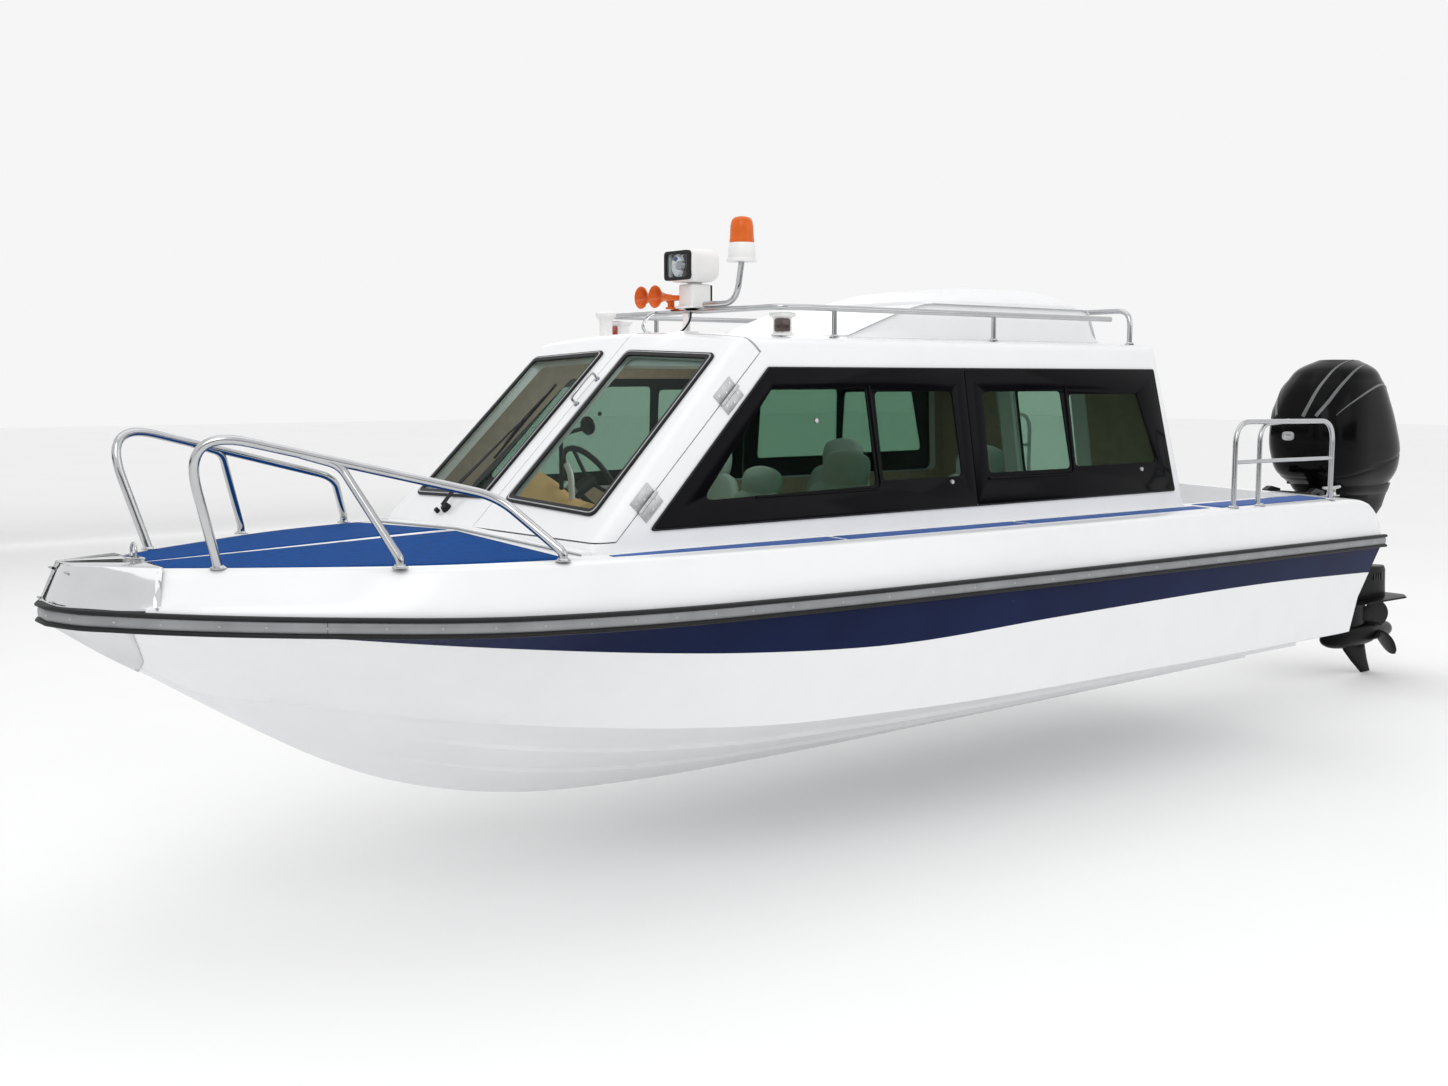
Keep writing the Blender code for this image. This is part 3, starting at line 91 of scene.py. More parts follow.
DECK_X = ((-3.2, 0.06), (-3.12, 0.12), (-3.0, 0.21), (-2.82, 0.36), (-2.55, 0.545), (-2.27, 0.72),
          (-1.72, 0.905), (-1.0, 0.975), (0.0, 1.005), (1.4, 1.03), (3.21, 1.035))
DECK_Z = ((-3.2, 0.69), (-3.1, 0.712), (-3.0, 0.7205), (-2.9, 0.722), (-2.5, 0.722), (-1.6, 0.722),
          (0.0, 0.716), (3.21, 0.706))
# Height of the deck's ridge; aft of the cabin front it differs from the solids by some millimetres
CROWN = ((-3.2, 0.0), (-2.95, 0.0), (-2.4, 0.016), (-1.75, 0.036), (-1.0, 0.036), (0.0, 0.03), (3.21, 0.03))
# Lower edge of the dark boot stripe
STRIPE_Z = ((-3.236, 0.56), (-2.914, 0.533), (-2.582, 0.502), (-2.145, 0.449), (-1.532, 0.379),
            (-0.968, 0.33), (-0.459, 0.302), (0.543, 0.318), (2.198, 0.329), (3.21, 0.302))
RAIL_HALF = 0.034
RAIL_DEPTH = 0.024
RECESS_HALF = 0.018
RECESS_DEPTH = 0.008
RAIL_SCREW_STEP = 0.142
RAIL_JOINTS = (-2.56, 0.42)

# Cabin, as in the solids
CABIN_HALF = 0.80
CABIN_BASE = 0.735
LEAN = 0.125
FRONT_Y = -1.718
FRONT_SLOPE = 1.005
FRONT_VEE = 0.055
FRONT_TOP_Z = 1.485
REAR_TOP_Z = 1.488
REAR_BASE_Y = 1.797
REAR_SLOPE = -0.1936
ROOF_CROWN = 0.034
ROOF_EDGE_Z = 1.4875
ROOF_HALF = 0.704
ROOF_ROUND = 0.035
WALL = 0.045
DOOR_THICK = 0.024
DOOR_GAP = 0.005
GLASS = 0.006
WINDSCREEN = ((0.083, 0.180), (0.679, 0.152), (0.647, 0.975), (0.079, 1.004))
WINDSCREEN_RIM = 0.03
DOOR_INNER = 0.012
DOOR_LOW = 0.765
DOOR_TOP = (-0.836, 1.430)
SEAM_Y = -1.588
SEAM_SLOPE = 1.093
SIDE_GLASS = ((-1.407, 0.795), (1.707, 0.795), (1.607, 1.372), (-0.802, 1.372))
SIDE_JOINT = ((0.280, 1.372), (0.306, 0.795))
SIDE_OPENINGS = (((-1.170, 0.888), (-0.285, 0.905), (-0.308, 1.294), (-0.796, 1.292)),
                 ((-0.243, 0.923), (0.219, 0.923), (0.194, 1.278), (-0.257, 1.278)),
                 ((0.392, 0.929), (0.939, 0.929), (0.902, 1.275), (0.385, 1.275)),
                 ((0.976, 0.936), (1.581, 0.936), (1.460, 1.261), (0.961, 1.261)))
REAR_DOOR_HALF = 0.29
REAR_DOOR_LOW = 0.145
REAR_DOOR_HIGH = 1.42
PIN_OUT = 0.010

# Round tube of the rails, and the saddles that carry fittings on the roof rail
RAIL_TUBE = 0.0125
ROOF_RAIL_Z = 1.612
SADDLE = 0.0128
# Lift of a foot off the surface below it
FOOT_LIFT = 0.0005

SIDES = ((1, "port"), (-1, "starboard"))


# Materials
def new_material(name):
    made = bpy.data.materials.new(name)
    made.use_nodes = True
    return made, made.node_tree.nodes, made.node_tree.links


def set_inputs(node, values):
    for name, value in values.items():
        node.inputs[name].default_value = value
    return node


def add_node(nodes, kind, values=None):
    return set_inputs(nodes.new("ShaderNode" + kind), values or {})


def connect(links, *wires):
    """Link nodes: each wire is a node and its output, then a node and its input."""
    for source, output, target, socket in wires:
        links.new(source.outputs[output], target.inputs[socket])


def surface(name, colour, rough, metal=0.0, vary=0.04, scale=6.0, bump=0.02, bump_scale=250.0, coat=0.0,
            spread=0.06, specular=0.5):
    """Painted, moulded or metal surface: clouded colour and roughness, and a fine grain."""
    made, nodes, links = new_material(name)
    shader = set_inputs(nodes["Principled BSDF"],
                        {"Metallic": metal, "Coat Weight": coat, "Coat Roughness": 0.08,
                                                   "Specular IOR Level": specular})
    place = add_node(nodes, "TexCoord")
    cloud = add_node(nodes, "TexNoise", {"Scale": scale, "Detail": 5.0})
    tint = add_node(nodes, "ValToRGB")
    shades = ([c * (1 - vary) for c in colour], [min(1.0, c * (1 + vary)) for c in colour])
    for element, position, shade in zip(tint.color_ramp.elements, (0.3, 0.7), shades):
        element.position = position
        element.color = (*shade, 1)
    gloss = add_node(nodes, "MapRange", {"To Min": max(0.0, rough - spread), "To Max": rough + spread})
    grain = add_node(nodes, "TexNoise", {"Scale": bump_scale, "Detail": 3.0})
    relief = add_node(nodes, "Bump", {"Strength": bump, "Distance": 0.002})
    connect(links, (place, "Object", cloud, "Vector"), (cloud, "Fac", tint, "Fac"),
            (tint, "Color", shader, "Base Color"), (cloud, "Fac", gloss, "Value"),
            (gloss, "Result", shader, "Roughness"), (place, "Object", grain, "Vector"),
            (grain, "Fac", relief, "Height"), (relief, "Normal", shader, "Normal"))
    return made


def glass(name, tint, dark, share):
    """Tinted pane: light passes with a tint, and the surface shines more at a low angle."""
    made, nodes, links = new_material(name)
    shader = set_inputs(nodes["Principled BSDF"], {"Base Color": (*dark, 1), "Roughness": 0.03})
    clear = add_node(nodes, "BsdfTransparent", {"Color": (*tint, 1)})
    shine = add_node(nodes, "LayerWeight")
    steep = add_node(nodes, "Math", {1: 4.0})
    steep.operation = "POWER"
    place = add_node(nodes, "TexCoord")
    cloud = add_node(nodes, "TexNoise", {"Scale": 3.0})
    film = add_node(nodes, "MapRange", {"To Min": share, "To Max": share + 0.03})
    total = add_node(nodes, "Math")
    total.use_clamp = True
    mix = add_node(nodes, "MixShader")
    connect(links, (shine, "Facing", steep, 0), (place, "Object", cloud, "Vector"),
            (cloud, "Fac", film, "Value"), (steep, "Value", total, 0), (film, "Result", total, 1),
            (total, "Value", mix, "Fac"), (clear, "BSDF", mix, 1), (shader, "BSDF", mix, 2),
            (mix, "Shader", nodes["Material Output"], "Surface"))
    return made


GELCOAT = surface("gelcoat", (0.82, 0.83, 0.84), 0.24, coat=0.35, vary=0.012, bump=0.015, bump_scale=60.0)
BOTTOM = surface("hull_bottom", (0.80, 0.81, 0.82), 0.34, coat=0.15, vary=0.03, scale=2.5, bump=0.03,
                 bump_scale=90.0)
NAVY = surface("navy_stripe", (0.006, 0.012, 0.050), 0.25, vary=0.2, scale=2.0, specular=0.07)
BLUE = surface("anti_slip_blue", (0.006, 0.062, 0.25), 0.7, specular=0.04, vary=0.16, scale=30.0, bump=0.9,
               bump_scale=420.0)
STRIP_BLUE = surface("side_strip_blue", (0.05, 0.12, 0.36), 0.6, specular=0.15, vary=0.12, scale=30.0,
                     bump=0.6, bump_scale=420.0)
RUBBER = surface("black_rubber", (0.010, 0.010, 0.011), 0.5, specular=0.25, vary=0.25, bump=0.12,
                 bump_scale=300.0)
STRIP = surface("rail_strip", (0.27, 0.28, 0.29), 0.38, metal=0.3, vary=0.12, scale=9.0, bump=0.06,
                bump_scale=160.0)
STEEL = surface("polished_steel", (0.50, 0.51, 0.52), 0.14, metal=1.0, vary=0.05, scale=14.0, bump=0.03,
                bump_scale=500.0)
MIRROR = surface("mirror_steel", (0.66, 0.67, 0.68), 0.10, metal=1.0, vary=0.04, scale=8.0, bump=0.03,
                 bump_scale=90.0)
BRUSHED = surface("brushed_steel", (0.45, 0.46, 0.47), 0.3, metal=1.0, vary=0.12, scale=40.0, bump=0.1,
                  bump_scale=700.0)
FRIT = surface("black_glass", (0.003, 0.003, 0.004), 0.10, specular=0.06, vary=0.2, spread=0.02, bump=0.01,
               bump_scale=30.0)
DASH = surface("tan_moulding", (0.97, 0.52, 0.22), 0.5, vary=0.12, scale=12.0, bump=0.2, bump_scale=220.0)
VINYL = surface("grey_vinyl", (0.46, 0.48, 0.48), 0.55, vary=0.06, scale=18.0, bump=0.35, bump_scale=330.0)
GLOSS_BLACK = surface("gloss_black", (0.002, 0.002, 0.0023), 0.16, specular=0.07, coat=0.03, vary=0.2,
                      spread=0.03, bump=0.01, bump_scale=60.0)
# Grey of the cowl's strips: a painted highlight along the flutes
COWL_HIGHLIGHT_GREY = surface("cowl_highlight_grey", (0.13, 0.135, 0.14), 0.28, metal=0.4, vary=0.1, scale=9.0, bump=0.02,
                    bump_scale=120.0)
SATIN_BLACK = surface("satin_black", (0.003, 0.003, 0.0033), 0.30, specular=0.05, vary=0.2, bump=0.02,
                      bump_scale=120.0)
DARK_METAL = surface("dark_metal", (0.028, 0.028, 0.03), 0.38, metal=0.6, vary=0.2, bump=0.1,
                     bump_scale=260.0)
AMBER = surface("amber_plastic", (0.66, 0.115, 0.008), 0.25, specular=0.25, coat=0.05, vary=0.1, scale=20.0,
                bump=0.05, bump_scale=120.0)
RED = surface("red_lens", (0.35, 0.04, 0.015), 0.2, coat=0.5, vary=0.12, scale=40.0, bump=0.08,
              bump_scale=260.0)
PLASTIC = surface("white_plastic", (0.80, 0.80, 0.79), 0.36, vary=0.02, bump=0.05, bump_scale=260.0)
LINING = surface("warm_lining", (0.38, 0.285, 0.20), 0.8, vary=0.12, scale=25.0, bump=0.4, bump_scale=400.0)
SMOKED = surface("smoked_lens", (0.05, 0.03, 0.025), 0.2, coat=0.4, vary=0.15, scale=40.0, bump=0.08,
                 bump_scale=260.0)
SCREEN = glass("screen_glass", (0.80, 0.86, 0.83), (0.02, 0.035, 0.028), 0.01)
SIDE_TINT = glass("side_glass", (0.56, 0.68, 0.61), (0.015, 0.03, 0.022), 0.01)
LAMP = glass("lamp_glass", (0.95, 0.97, 0.98), (0.5, 0.5, 0.5), 0.03)
CARD = surface("dark_card", (0.03, 0.03, 0.03), 0.9, bump=0.01)
FLOOR = surface("studio_floor", (0.94, 0.94, 0.94), 0.7, vary=0.01, scale=0.6, bump=0.01, bump_scale=40.0)


# Mesh helpers
def smooth_at(table, y):
    """Value at y of the smooth curve through the table's points."""
    ys = np.array([row[0] for row in table])
    vs = np.array([row[1] for row in table])
    slopes = np.gradient(vs, ys)
    y = min(max(y, ys[0]), ys[-1])
    i = min(int(np.searchsorted(ys, y, side="right")) - 1, len(ys) - 2)
    h = ys[i + 1] - ys[i]
    t = (y - ys[i]) / h
    a = (2 * t**3 - 3 * t**2 + 1) * vs[i] + (t**3 - 2 * t**2 + t) * h * slopes[i]
    b = (-2 * t**3 + 3 * t**2) * vs[i + 1] + (t**3 - t**2) * h * slopes[i + 1]
    return float(a + b)


def new_object(name, data):
    obj = bpy.data.objects.new(name, data)
    SCENE.collection.objects.link(obj)
    return obj


def rounded(obj, angle=35):
    obj.data.shade_smooth()
    obj.data.set_sharp_from_angle(angle=math.radians(angle))
    return obj


def from_bmesh(name, bm, mats, smooth=35):
    mesh = bpy.data.meshes.new(name)
    bmesh.ops.recalc_face_normals(bm, faces=bm.faces)
    bm.to_mesh(mesh)
    bm.free()
    obj = new_object(name, mesh)
    for mat in mats if isinstance(mats, (list, tuple)) else [mats]:
        mesh.materials.append(mat)
    return rounded(obj, smooth) if smooth else obj


def settle(obj):
    """Apply the object's modifiers."""
    bpy.context.view_layer.update()
    graph = bpy.context.evaluated_depsgraph_get()
    mesh = bpy.data.meshes.new_from_object(obj.evaluated_get(graph))
    mesh.transform(obj.matrix_world)
    obj.modifiers.clear()
    obj.data = mesh
    obj.matrix_world = Matrix.Identity(4)
    return obj


def combine(base, others, operation):
    for other in others:
        modifier = base.modifiers.new("part", "BOOLEAN")
        modifier.operation = operation
        modifier.solver = "EXACT"
        modifier.material_mode = "TRANSFER"
        modifier.object = other
        settle(base)
        bpy.data.objects.remove(other, do_unlink=True)
    return base


def unite(base, *others):
    return combine(base, others, "UNION")


def cut(base, *others):
    return combine(base, others, "DIFFERENCE")


def bevel(obj, width, segments=3, angle=30):
    modifier = obj.modifiers.new("bevel", "BEVEL")
    modifier.width = width
    modifier.segments = segments
    modifier.limit_method = "ANGLE"
    modifier.angle_limit = math.radians(angle)
    return settle(obj)


def loft(name, rings, mats=(), smooth=30, zone=None):
    """Skin between closed rings, with both ends filled; zone(column) gives a face's material."""
    bm = bmesh.new()
    rows = [[bm.verts.new(point) for point in ring] for ring in rings]
    count = len(rings[0])
    for first, second in zip(rows, rows[1:]):
        for i in range(count):
            j = (i + 1) % count
            face = bm.faces.new((first[i], first[j], second[j], second[i]))
            if zone:
                face.material_index = zone(i)
    bm.faces.new(rows[0])
    bm.faces.new(rows[-1])
    return from_bmesh(name, bm, mats, smooth)


def sheet(name, rows, mat, thickness, offset, smooth):
    """Thin sheet through rows of points."""
    bm = bmesh.new()
    made = [[bm.verts.new(point) for point in row] for row in rows]
    for first, second in zip(made, made[1:]):
        for corners in zip(first, first[1:], second[1:], second):
            bm.faces.new(corners)
    plate = from_bmesh(name, bm, mat, smooth)
    thick = plate.modifiers.new("thick", "SOLIDIFY")
    thick.thickness = thickness
    thick.offset = offset
    return settle(plate)


def box(name, low, high, mat=(), soft=0.0, segments=3):
    bm = bmesh.new()
    bmesh.ops.create_cube(bm, size=1.0)
    bmesh.ops.scale(bm, vec=Vector(high) - Vector(low), verts=bm.verts)
    bmesh.ops.translate(bm, vec=(Vector(high) + Vector(low)) / 2, verts=bm.verts)
    obj = from_bmesh(name, bm, mat)
    return rounded(bevel(obj, soft, segments)) if soft else obj


def cylinder(name, start, end, radius, mat, sides=32, end_radius=None):
    start, end = Vector(start), Vector(end)
    bm = bmesh.new()
    bmesh.ops.create_cone(bm, cap_ends=True, segments=sides, radius1=radius,
                          radius2=radius if end_radius is None else end_radius, depth=(end - start).length)
    turn = (end - start).to_track_quat("Z", "Y").to_matrix().to_4x4()
    bmesh.ops.transform(bm, matrix=Matrix.Translation((start + end) / 2) @ turn, verts=bm.verts)
    return from_bmesh(name, bm, mat)


def outline(name, points, thickness, place=None, mat=(), holes=(), soft=0.0):
    """Flat outline of the given thickness, in the XY plane of place and centred on it."""
    curve = bpy.data.curves.new(name, "CURVE")
    curve.dimensions = "2D"
    curve.fill_mode = "BOTH"
    curve.extrude = max(0.0, thickness / 2 - soft)
    curve.bevel_depth = soft
    curve.bevel_resolution = 2
    curve.offset = -soft
    for loop in (points, *holes):
        spline = curve.splines.new("POLY")
        spline.points.add(len(loop) - 1)
        for point, (x, y) in zip(spline.points, loop):
            point.co = (x, y, 0, 1)
        spline.use_cyclic_u = True
    return from_curve(name, curve, mat, place)


def from_curve(name, curve, mat, place=None):
    guide = new_object(name + "_line", curve)
    bpy.context.view_layer.update()
    mesh = bpy.data.meshes.new_from_object(guide.evaluated_get(bpy.context.evaluated_depsgraph_get()))
    bm = bmesh.new()
    bm.from_mesh(mesh)
    bmesh.ops.remove_doubles(bm, verts=bm.verts, dist=0.00001)
    if place is not None:
        bmesh.ops.transform(bm, matrix=place, verts=bm.verts)
    bpy.data.objects.remove(guide, do_unlink=True)
    return from_bmesh(name, bm, mat)


def corner_arc(before, corner, after, radius, share, steps):
    """Points of a rounded corner, which takes up at most a share of each side."""
    back = (before - corner).normalized()
    ahead = (after - corner).normalized()
    reach = min(radius / math.tan(back.angle(ahead) / 2), share * (before - corner).length,
                share * (after - corner).length)
    start, end = corner + back * reach, corner + ahead * reach
    arc = []
    for i in range(steps + 1):
        t = i / steps
        arc.append((1 - t)**2 * start + 2 * t * (1 - t) * corner + t**2 * end)
    return arc


def bent(points, radius, steps=10):
    """The path through points with its corners rounded to the given radius."""
    points = [Vector(point) for point in points]
    path = [points[0]]
    for before, corner, after in zip(points, points[1:], points[2:]):
        path += corner_arc(before, corner, after, radius, 0.45, steps)
    path.append(points[-1])
    return path


def neighbours(corners):
    """Each corner of a closed outline, between the one before and the one after it."""
    points = [Vector(corner) for corner in corners]
    return list(zip(points[-1:] + points[:-1], points, points[1:] + points[:1]))


def rounded_loop(corners, radius, steps=8):
    loop = []
    for before, corner, after in neighbours(corners):
        loop += [(p.x, p.y) for p in corner_arc(before, corner, after, radius, 0.4, steps)]
    return loop


def rounded_oblong(half, low, high, radius):
    """Rounded oblong from low to high, as wide to the left of its axis as to the right."""
    return rounded_loop(((-half, low), (half, low), (half, high), (-half, high)), radius)


def shrunk(corners, by):
    """The outline drawn in by the same distance all round."""
    area = sum(before.x * corner.y - corner.x * before.y for before, corner, _ in neighbours(corners))
    turn = 1 if area > 0 else -1
    moved = []
    for before, corner, after in neighbours(corners):
        first, second = (corner - before).normalized(), (after - corner).normalized()
        n1, n2 = turn * Vector((-first.y, first.x)), turn * Vector((-second.y, second.x))
        moved.append(tuple(corner + (n1 + n2) * by / (1 + n1.dot(n2))))
    return moved


def tube(name, points, radius, mat, resolution=5, taper=()):
    curve = bpy.data.curves.new(name, "CURVE")
    curve.dimensions = "3D"
    curve.bevel_depth = radius
    curve.bevel_resolution = resolution
    curve.use_fill_caps = True
    spline = curve.splines.new("POLY")
    spline.points.add(len(points) - 1)
    for point, place in zip(spline.points, points):
        point.co = (*place, 1)
    for point, share in zip(spline.points, taper):
        point.radius = share
    return from_curve(name, curve, mat)


def angles(count):
    return [2 * math.pi * i / count for i in range(count)]


def turned(name, profile, place, mat, direction=(0, 0, 1), steps=40):
    """Turned piece: profile of (radius, height) from one end of its axis to the other."""
    bm = bmesh.new()
    turn = Matrix.Translation(place) @ Vector(direction).to_track_quat("Z", "Y").to_matrix().to_4x4()
    rings = []
    for radius, height in profile:
        ring = [(max(radius, 1e-5) * math.cos(a), max(radius, 1e-5) * math.sin(a), height)
                for a in angles(steps)]
        rings.append([bm.verts.new(turn @ Vector(p)) for p in ring])
    for first, second in zip(rings, rings[1:]):
        for i in range(steps):
            j = (i + 1) % steps
            bm.faces.new((first[i], first[j], second[j], second[i]))
    bmesh.ops.remove_doubles(bm, verts=bm.verts, dist=0.00003)
    return from_bmesh(name, bm, mat, 40)


def squircle(centre, half_x, half_y, z, power, count=72):
    """Ring between an ellipse (power 2) and an oblong."""
    ring = []
    for angle in angles(count):
        c, s = math.cos(angle), math.sin(angle)
        ring.append((centre[0] + half_x * math.copysign(abs(c)**(2 / power), c),
                     centre[1] + half_y * math.copysign(abs(s)**(2 / power), s), z))
    return ring


def section(z, front, back, half, power, count=80):
    """Level section of the engine between its front and back."""
    ring = squircle((0, (front + back) / 2), half, (back - front) / 2, z, power, count)
    return [Vector(point) for point in ring]


def flow(points, steps=4):
    """Smooth line through points."""
    points = [Vector(p) for p in points]
    line = []
    for i in range(len(points) - 1):
        a, b = points[max(i - 1, 0)], points[i]
        c, d = points[i + 1], points[min(i + 2, len(points) - 1)]
        for k in range(steps):
            t = k / steps
            line.append(0.5 * (2 * b + (c - a) * t + (2 * a - 5 * b + 4 * c - d) * t**2
                               + (3 * b - a - 3 * c + d) * t**3))
    line.append(points[-1])
    return line


def slab_in(place, name, low, high, mat=(), soft=0.0):
    """Box set in a frame of its own."""
    obj = box(name, low, high, mat, soft)
    obj.data.transform(place)
    if place.determinant() < 0:
        obj.data.flip_normals()
    return obj


def join(name, pieces):
    """One object from several, keeping each one's material."""
    bm = bmesh.new()
    mats = []
    for piece in pieces:
        start = len(bm.faces)
        bm.from_mesh(piece.data)
        bm.faces.ensure_lookup_table()
        used = list(piece.data.materials)
        for mat in used:
            if mat not in mats:
                mats.append(mat)
        for face in bm.faces[start:]:
            face.material_index = mats.index(used[face.material_index]) if used else 0
        bpy.data.objects.remove(piece, do_unlink=True)
    mesh = bpy.data.meshes.new(name)
    bm.to_mesh(mesh)
    bm.free()
    obj = new_object(name, mesh)
    for mat in mats:
        mesh.materials.append(mat)
    return obj


def put(obj, body="boat", stands_for=()):
    """The piece rides on a body and may stand for solids, which it hides."""
    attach(obj, body)
    if stands_for:
        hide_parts(*stands_for)
    return obj


def flip(mesh):
    """Mirror the mesh to the other side of the boat."""
    mesh.transform(Matrix.Scale(-1, 4, (1, 0, 0)))
    mesh.flip_normals()


def put_pair(name, parts, node):
    """The port piece joined from its parts, and its mirrored copy to starboard."""
    port = join(f"{name}_port", parts)
    mesh = port.data.copy()
    flip(mesh)
    starboard = new_object(f"{name}_starboard", mesh)
    for piece, side in ((port, "port"), (starboard, "starboard")):
        put(piece, stands_for=[f"{node}_{side}"])


def points_in(place, points):
    return [place @ Vector(point) for point in points]


def both_sides(half):
    """Ring from the points of its port half."""
    other = [(-x, y, z) for x, y, z in reversed(half) if abs(x) > 1e-9]
    return list(half) + other


# Hull: bottom, topsides with the boot stripe, and the well
def stations(low, high, step):
    """Even places from low to high, about a step apart."""
    count = max(2, round((high - low) / step) + 1)
    return [low + (high - low) * i / (count - 1) for i in range(count)]


HULL_LINE = stations(BOW_Y, -2.9, 0.014) + stations(-2.88, -1.0, 0.04) + stations(-0.94, STERN_Y, 0.12)
HULL_SHARES = 5


def topside(y, share):
    """Point of the topside at a share of the way from the chine to the sheer."""
    cx, cz = smooth_at(CHINE_X, y), smooth_at(CHINE_Z, y)
    sx, sz = smooth_at(SHEER_X, y), smooth_at(SHEER_Z, y)
    hollow = 0.035 * min(max((-1.2 - y) / 1.0, 0.0), 1.0) * min(1.0, sx / 0.4)
    return cx + (sx - cx) * share - hollow * math.sin(math.pi * share), cz + (sz - cz) * share


def hull_ring(y):
    """Section of the hull: two strakes on the bottom, the chine, the topside and the boot stripe."""
    keel = smooth_at(KEEL, y)
    cx, cz = smooth_at(CHINE_X, y), smooth_at(CHINE_Z, y)
    sz = smooth_at(SHEER_Z, y)
    fade = min(max((y + 2.6) / 1.0, 0.0), 1.0)
    half = [(0.0, keel)]
    for share in (0.36, 0.68):
        x, z = cx * share, keel + (cz - keel) * share
        half.append((x, z - 0.008 * fade))
        half.append((x + 0.004, z + 0.010 * fade + 0.001))
    half.append((cx - 0.028 * fade - 0.002, cz - 0.012 * fade))
    half.append((cx, cz))
    stripe = min(0.97, max(0.05, (smooth_at(STRIPE_Z, y) - cz) / (sz - cz)))
    half += [topside(y, stripe * (k + 1) / HULL_SHARES) for k in range(HULL_SHARES)]
    half += [topside(y, stripe + (1 - stripe) * (k + 1) / 3) for k in range(3)]
    ring = both_sides([(x, y, z) for x, z in half])
    if y >= STERN_Y:
        ring = [(x, y + TRANSOM_RAKE * (z - TRANSOM_Z), z) for x, _, z in ring]
    return ring


def hull_zone(column):
    """Material of a hull face: bottom, topside or stripe, from its place round the ring."""
    points = 7 + HULL_SHARES + 3
    place = column if column < points else 2 * points - 2 - column
    if place >= points - 4 and column != points - 1:
        return 2
    return 1 if place >= 6 else 0


def prism(name, profile, half, mats=()):
    """Solid of one section of (y, z) points from side to side."""
    return loft(name, [[(x, y, z) for y, z in profile] for x in (-half, half)], mats)


def make_hull():
    hull = loft("hull_skin", [hull_ring(y) for y in HULL_LINE], (BOTTOM, GELCOAT, NAVY), 28, hull_zone)
    profile = [(WELL_FRONT, SOLE_Z), (COCKPIT_FRONT, SOLE_Z), (COCKPIT_FRONT, COCKPIT_Z),
               (WELL_BACK, COCKPIT_Z), (WELL_BACK, 1.0), (WELL_FRONT, 1.0)]
    put(rounded(cut(hull, prism("well", profile, WELL_HALF)), 28), stands_for=["hull"])


# Deck moulding
DECK_LINE = stations(-3.12, -2.0, 0.035) + stations(-1.9, 2.8, 0.1)


def deck_top(x, y):
    """Height of the deck's surface: two flats that meet in a low ridge."""
    reach = max(smooth_at(DECK_X, y) - 0.03, 0.02)
    return smooth_at(DECK_Z, y) + smooth_at(CROWN, y) * max(0.0, 1 - abs(x) / reach)


def deck_ring(y, drop=0.0):
    """Section of the deck moulding: its bulged side, rounded edge and crowned top."""
    sx, sz = smooth_at(SHEER_X, y), smooth_at(SHEER_Z, y) + GAP
    dx, dz = smooth_at(DECK_X, y), smooth_at(DECK_Z, y) - drop
    rise = dz - sz
    reach = max(dx - 0.03, 0.02)
    side = [(sx, 0, sz), (sx - 0.004, 0, sz + 0.3 * rise), (dx + 0.25 * (sx - dx), 0, sz + 0.82 * rise),
            (dx, 0, dz - 0.01), (reach, 0, dz)]
    half = [(p.x, p.z) for p in flow(side, 4)]
    half += [(reach * s, deck_top(reach * s, y) - drop) for s in (0.85, 0.65, 0.45, 0.25, 0.1)]
    half.append((0.0, deck_top(0.0, y) - drop))
    return both_sides([(x, y, z) for x, z in half])


def leaned(ring, low_y, high_y):
    """The ring with its foot at one place along the boat and its top at another."""
    zs = [point[2] for point in ring]
    low, high = min(zs), max(zs)
    return [(x, low_y + (high_y - low_y) * (z - low) / (high - low), z) for x, _, z in ring]


def make_deck():
    rings = [leaned(deck_ring(BOW_Y), BOW_Y, -3.165)]
    rings += [deck_ring(y) for y in DECK_LINE]
    for y, drop in ((2.9, 0.0), (2.98, 0.004), (3.05, 0.012), (3.10, 0.026), (3.14, 0.05), (3.17, 0.075),
                    (3.19, 0.10)):
        rings.append(deck_ring(y, drop))
    rings.append(deck_ring(STERN_Y, 0.17))
    deck = loft("deck_skin", rings, GELCOAT, 35)
    cut(deck, box("well", (-WELL_HALF, WELL_FRONT, 0.3), (WELL_HALF, WELL_BACK, 1.0)))
    cut(deck, cabin_solid("seat_for_cabin", GAP, LEDGE_Z))
    put(rounded(deck, 35), stands_for=["deck_moulding"])


def deck_panel(name, ys, inner, outer, mat, across=12):
    """Thin panel on the deck between two edges given as functions of y."""
    rows = []
    for y in ys:
        low, high = inner(y), outer(y)
        xs = [low + (high - low) * k / across for k in range(across + 1)]
        rows.append([(x, y, deck_top(x, y) + PANEL_RISE) for x in xs])
    return sheet(name, rows, mat, 0.004, -1, 30)


# Rub rail
def sheer_path():
    port = [Vector((smooth_at(SHEER_X, y), y, smooth_at(SHEER_Z, y))) for y in HULL_LINE[:0:-1]]
    port.append(Vector((0.05, BOW_Y, smooth_at(SHEER_Z, BOW_Y))))
    return port + [Vector((-p.x, p.y, p.z)) for p in reversed(port)]


def sheer_frames():
    """Place and outward direction at each point of the sheer."""
    path = sheer_path()
    frames = []
    for i, place in enumerate(path):
        along = path[min(i + 1, len(path) - 1)] - path[max(i - 1, 0)]
        along.z = 0
        along.normalize()
        out = Vector((-along.y, along.x, 0))
        if out.dot(Vector((place.x, place.y - 3.0, 0))) < 0:
            out = -out
        frames.append((place, out))
    return frames


def band(name, profile, mat):
    rings = [[place + out * a + Vector((0, 0, b)) for a, b in profile] for place, out in sheer_frames()]
    return loft(name, rings, mat, 40)


def bead(low, high, depth):
    """Rounded section of one bead of the rail, from its lower to its upper edge."""
    middle, half = (low + high) / 2, (high - low) / 2
    points = [(0.001, low)]
    for k in range(9):
        angle = math.pi * (k / 8 - 0.5)
        points.append((depth - 0.010 + 0.010 * math.cos(angle), middle + half * math.sin(angle)))
    return points + [(0.001, high)]


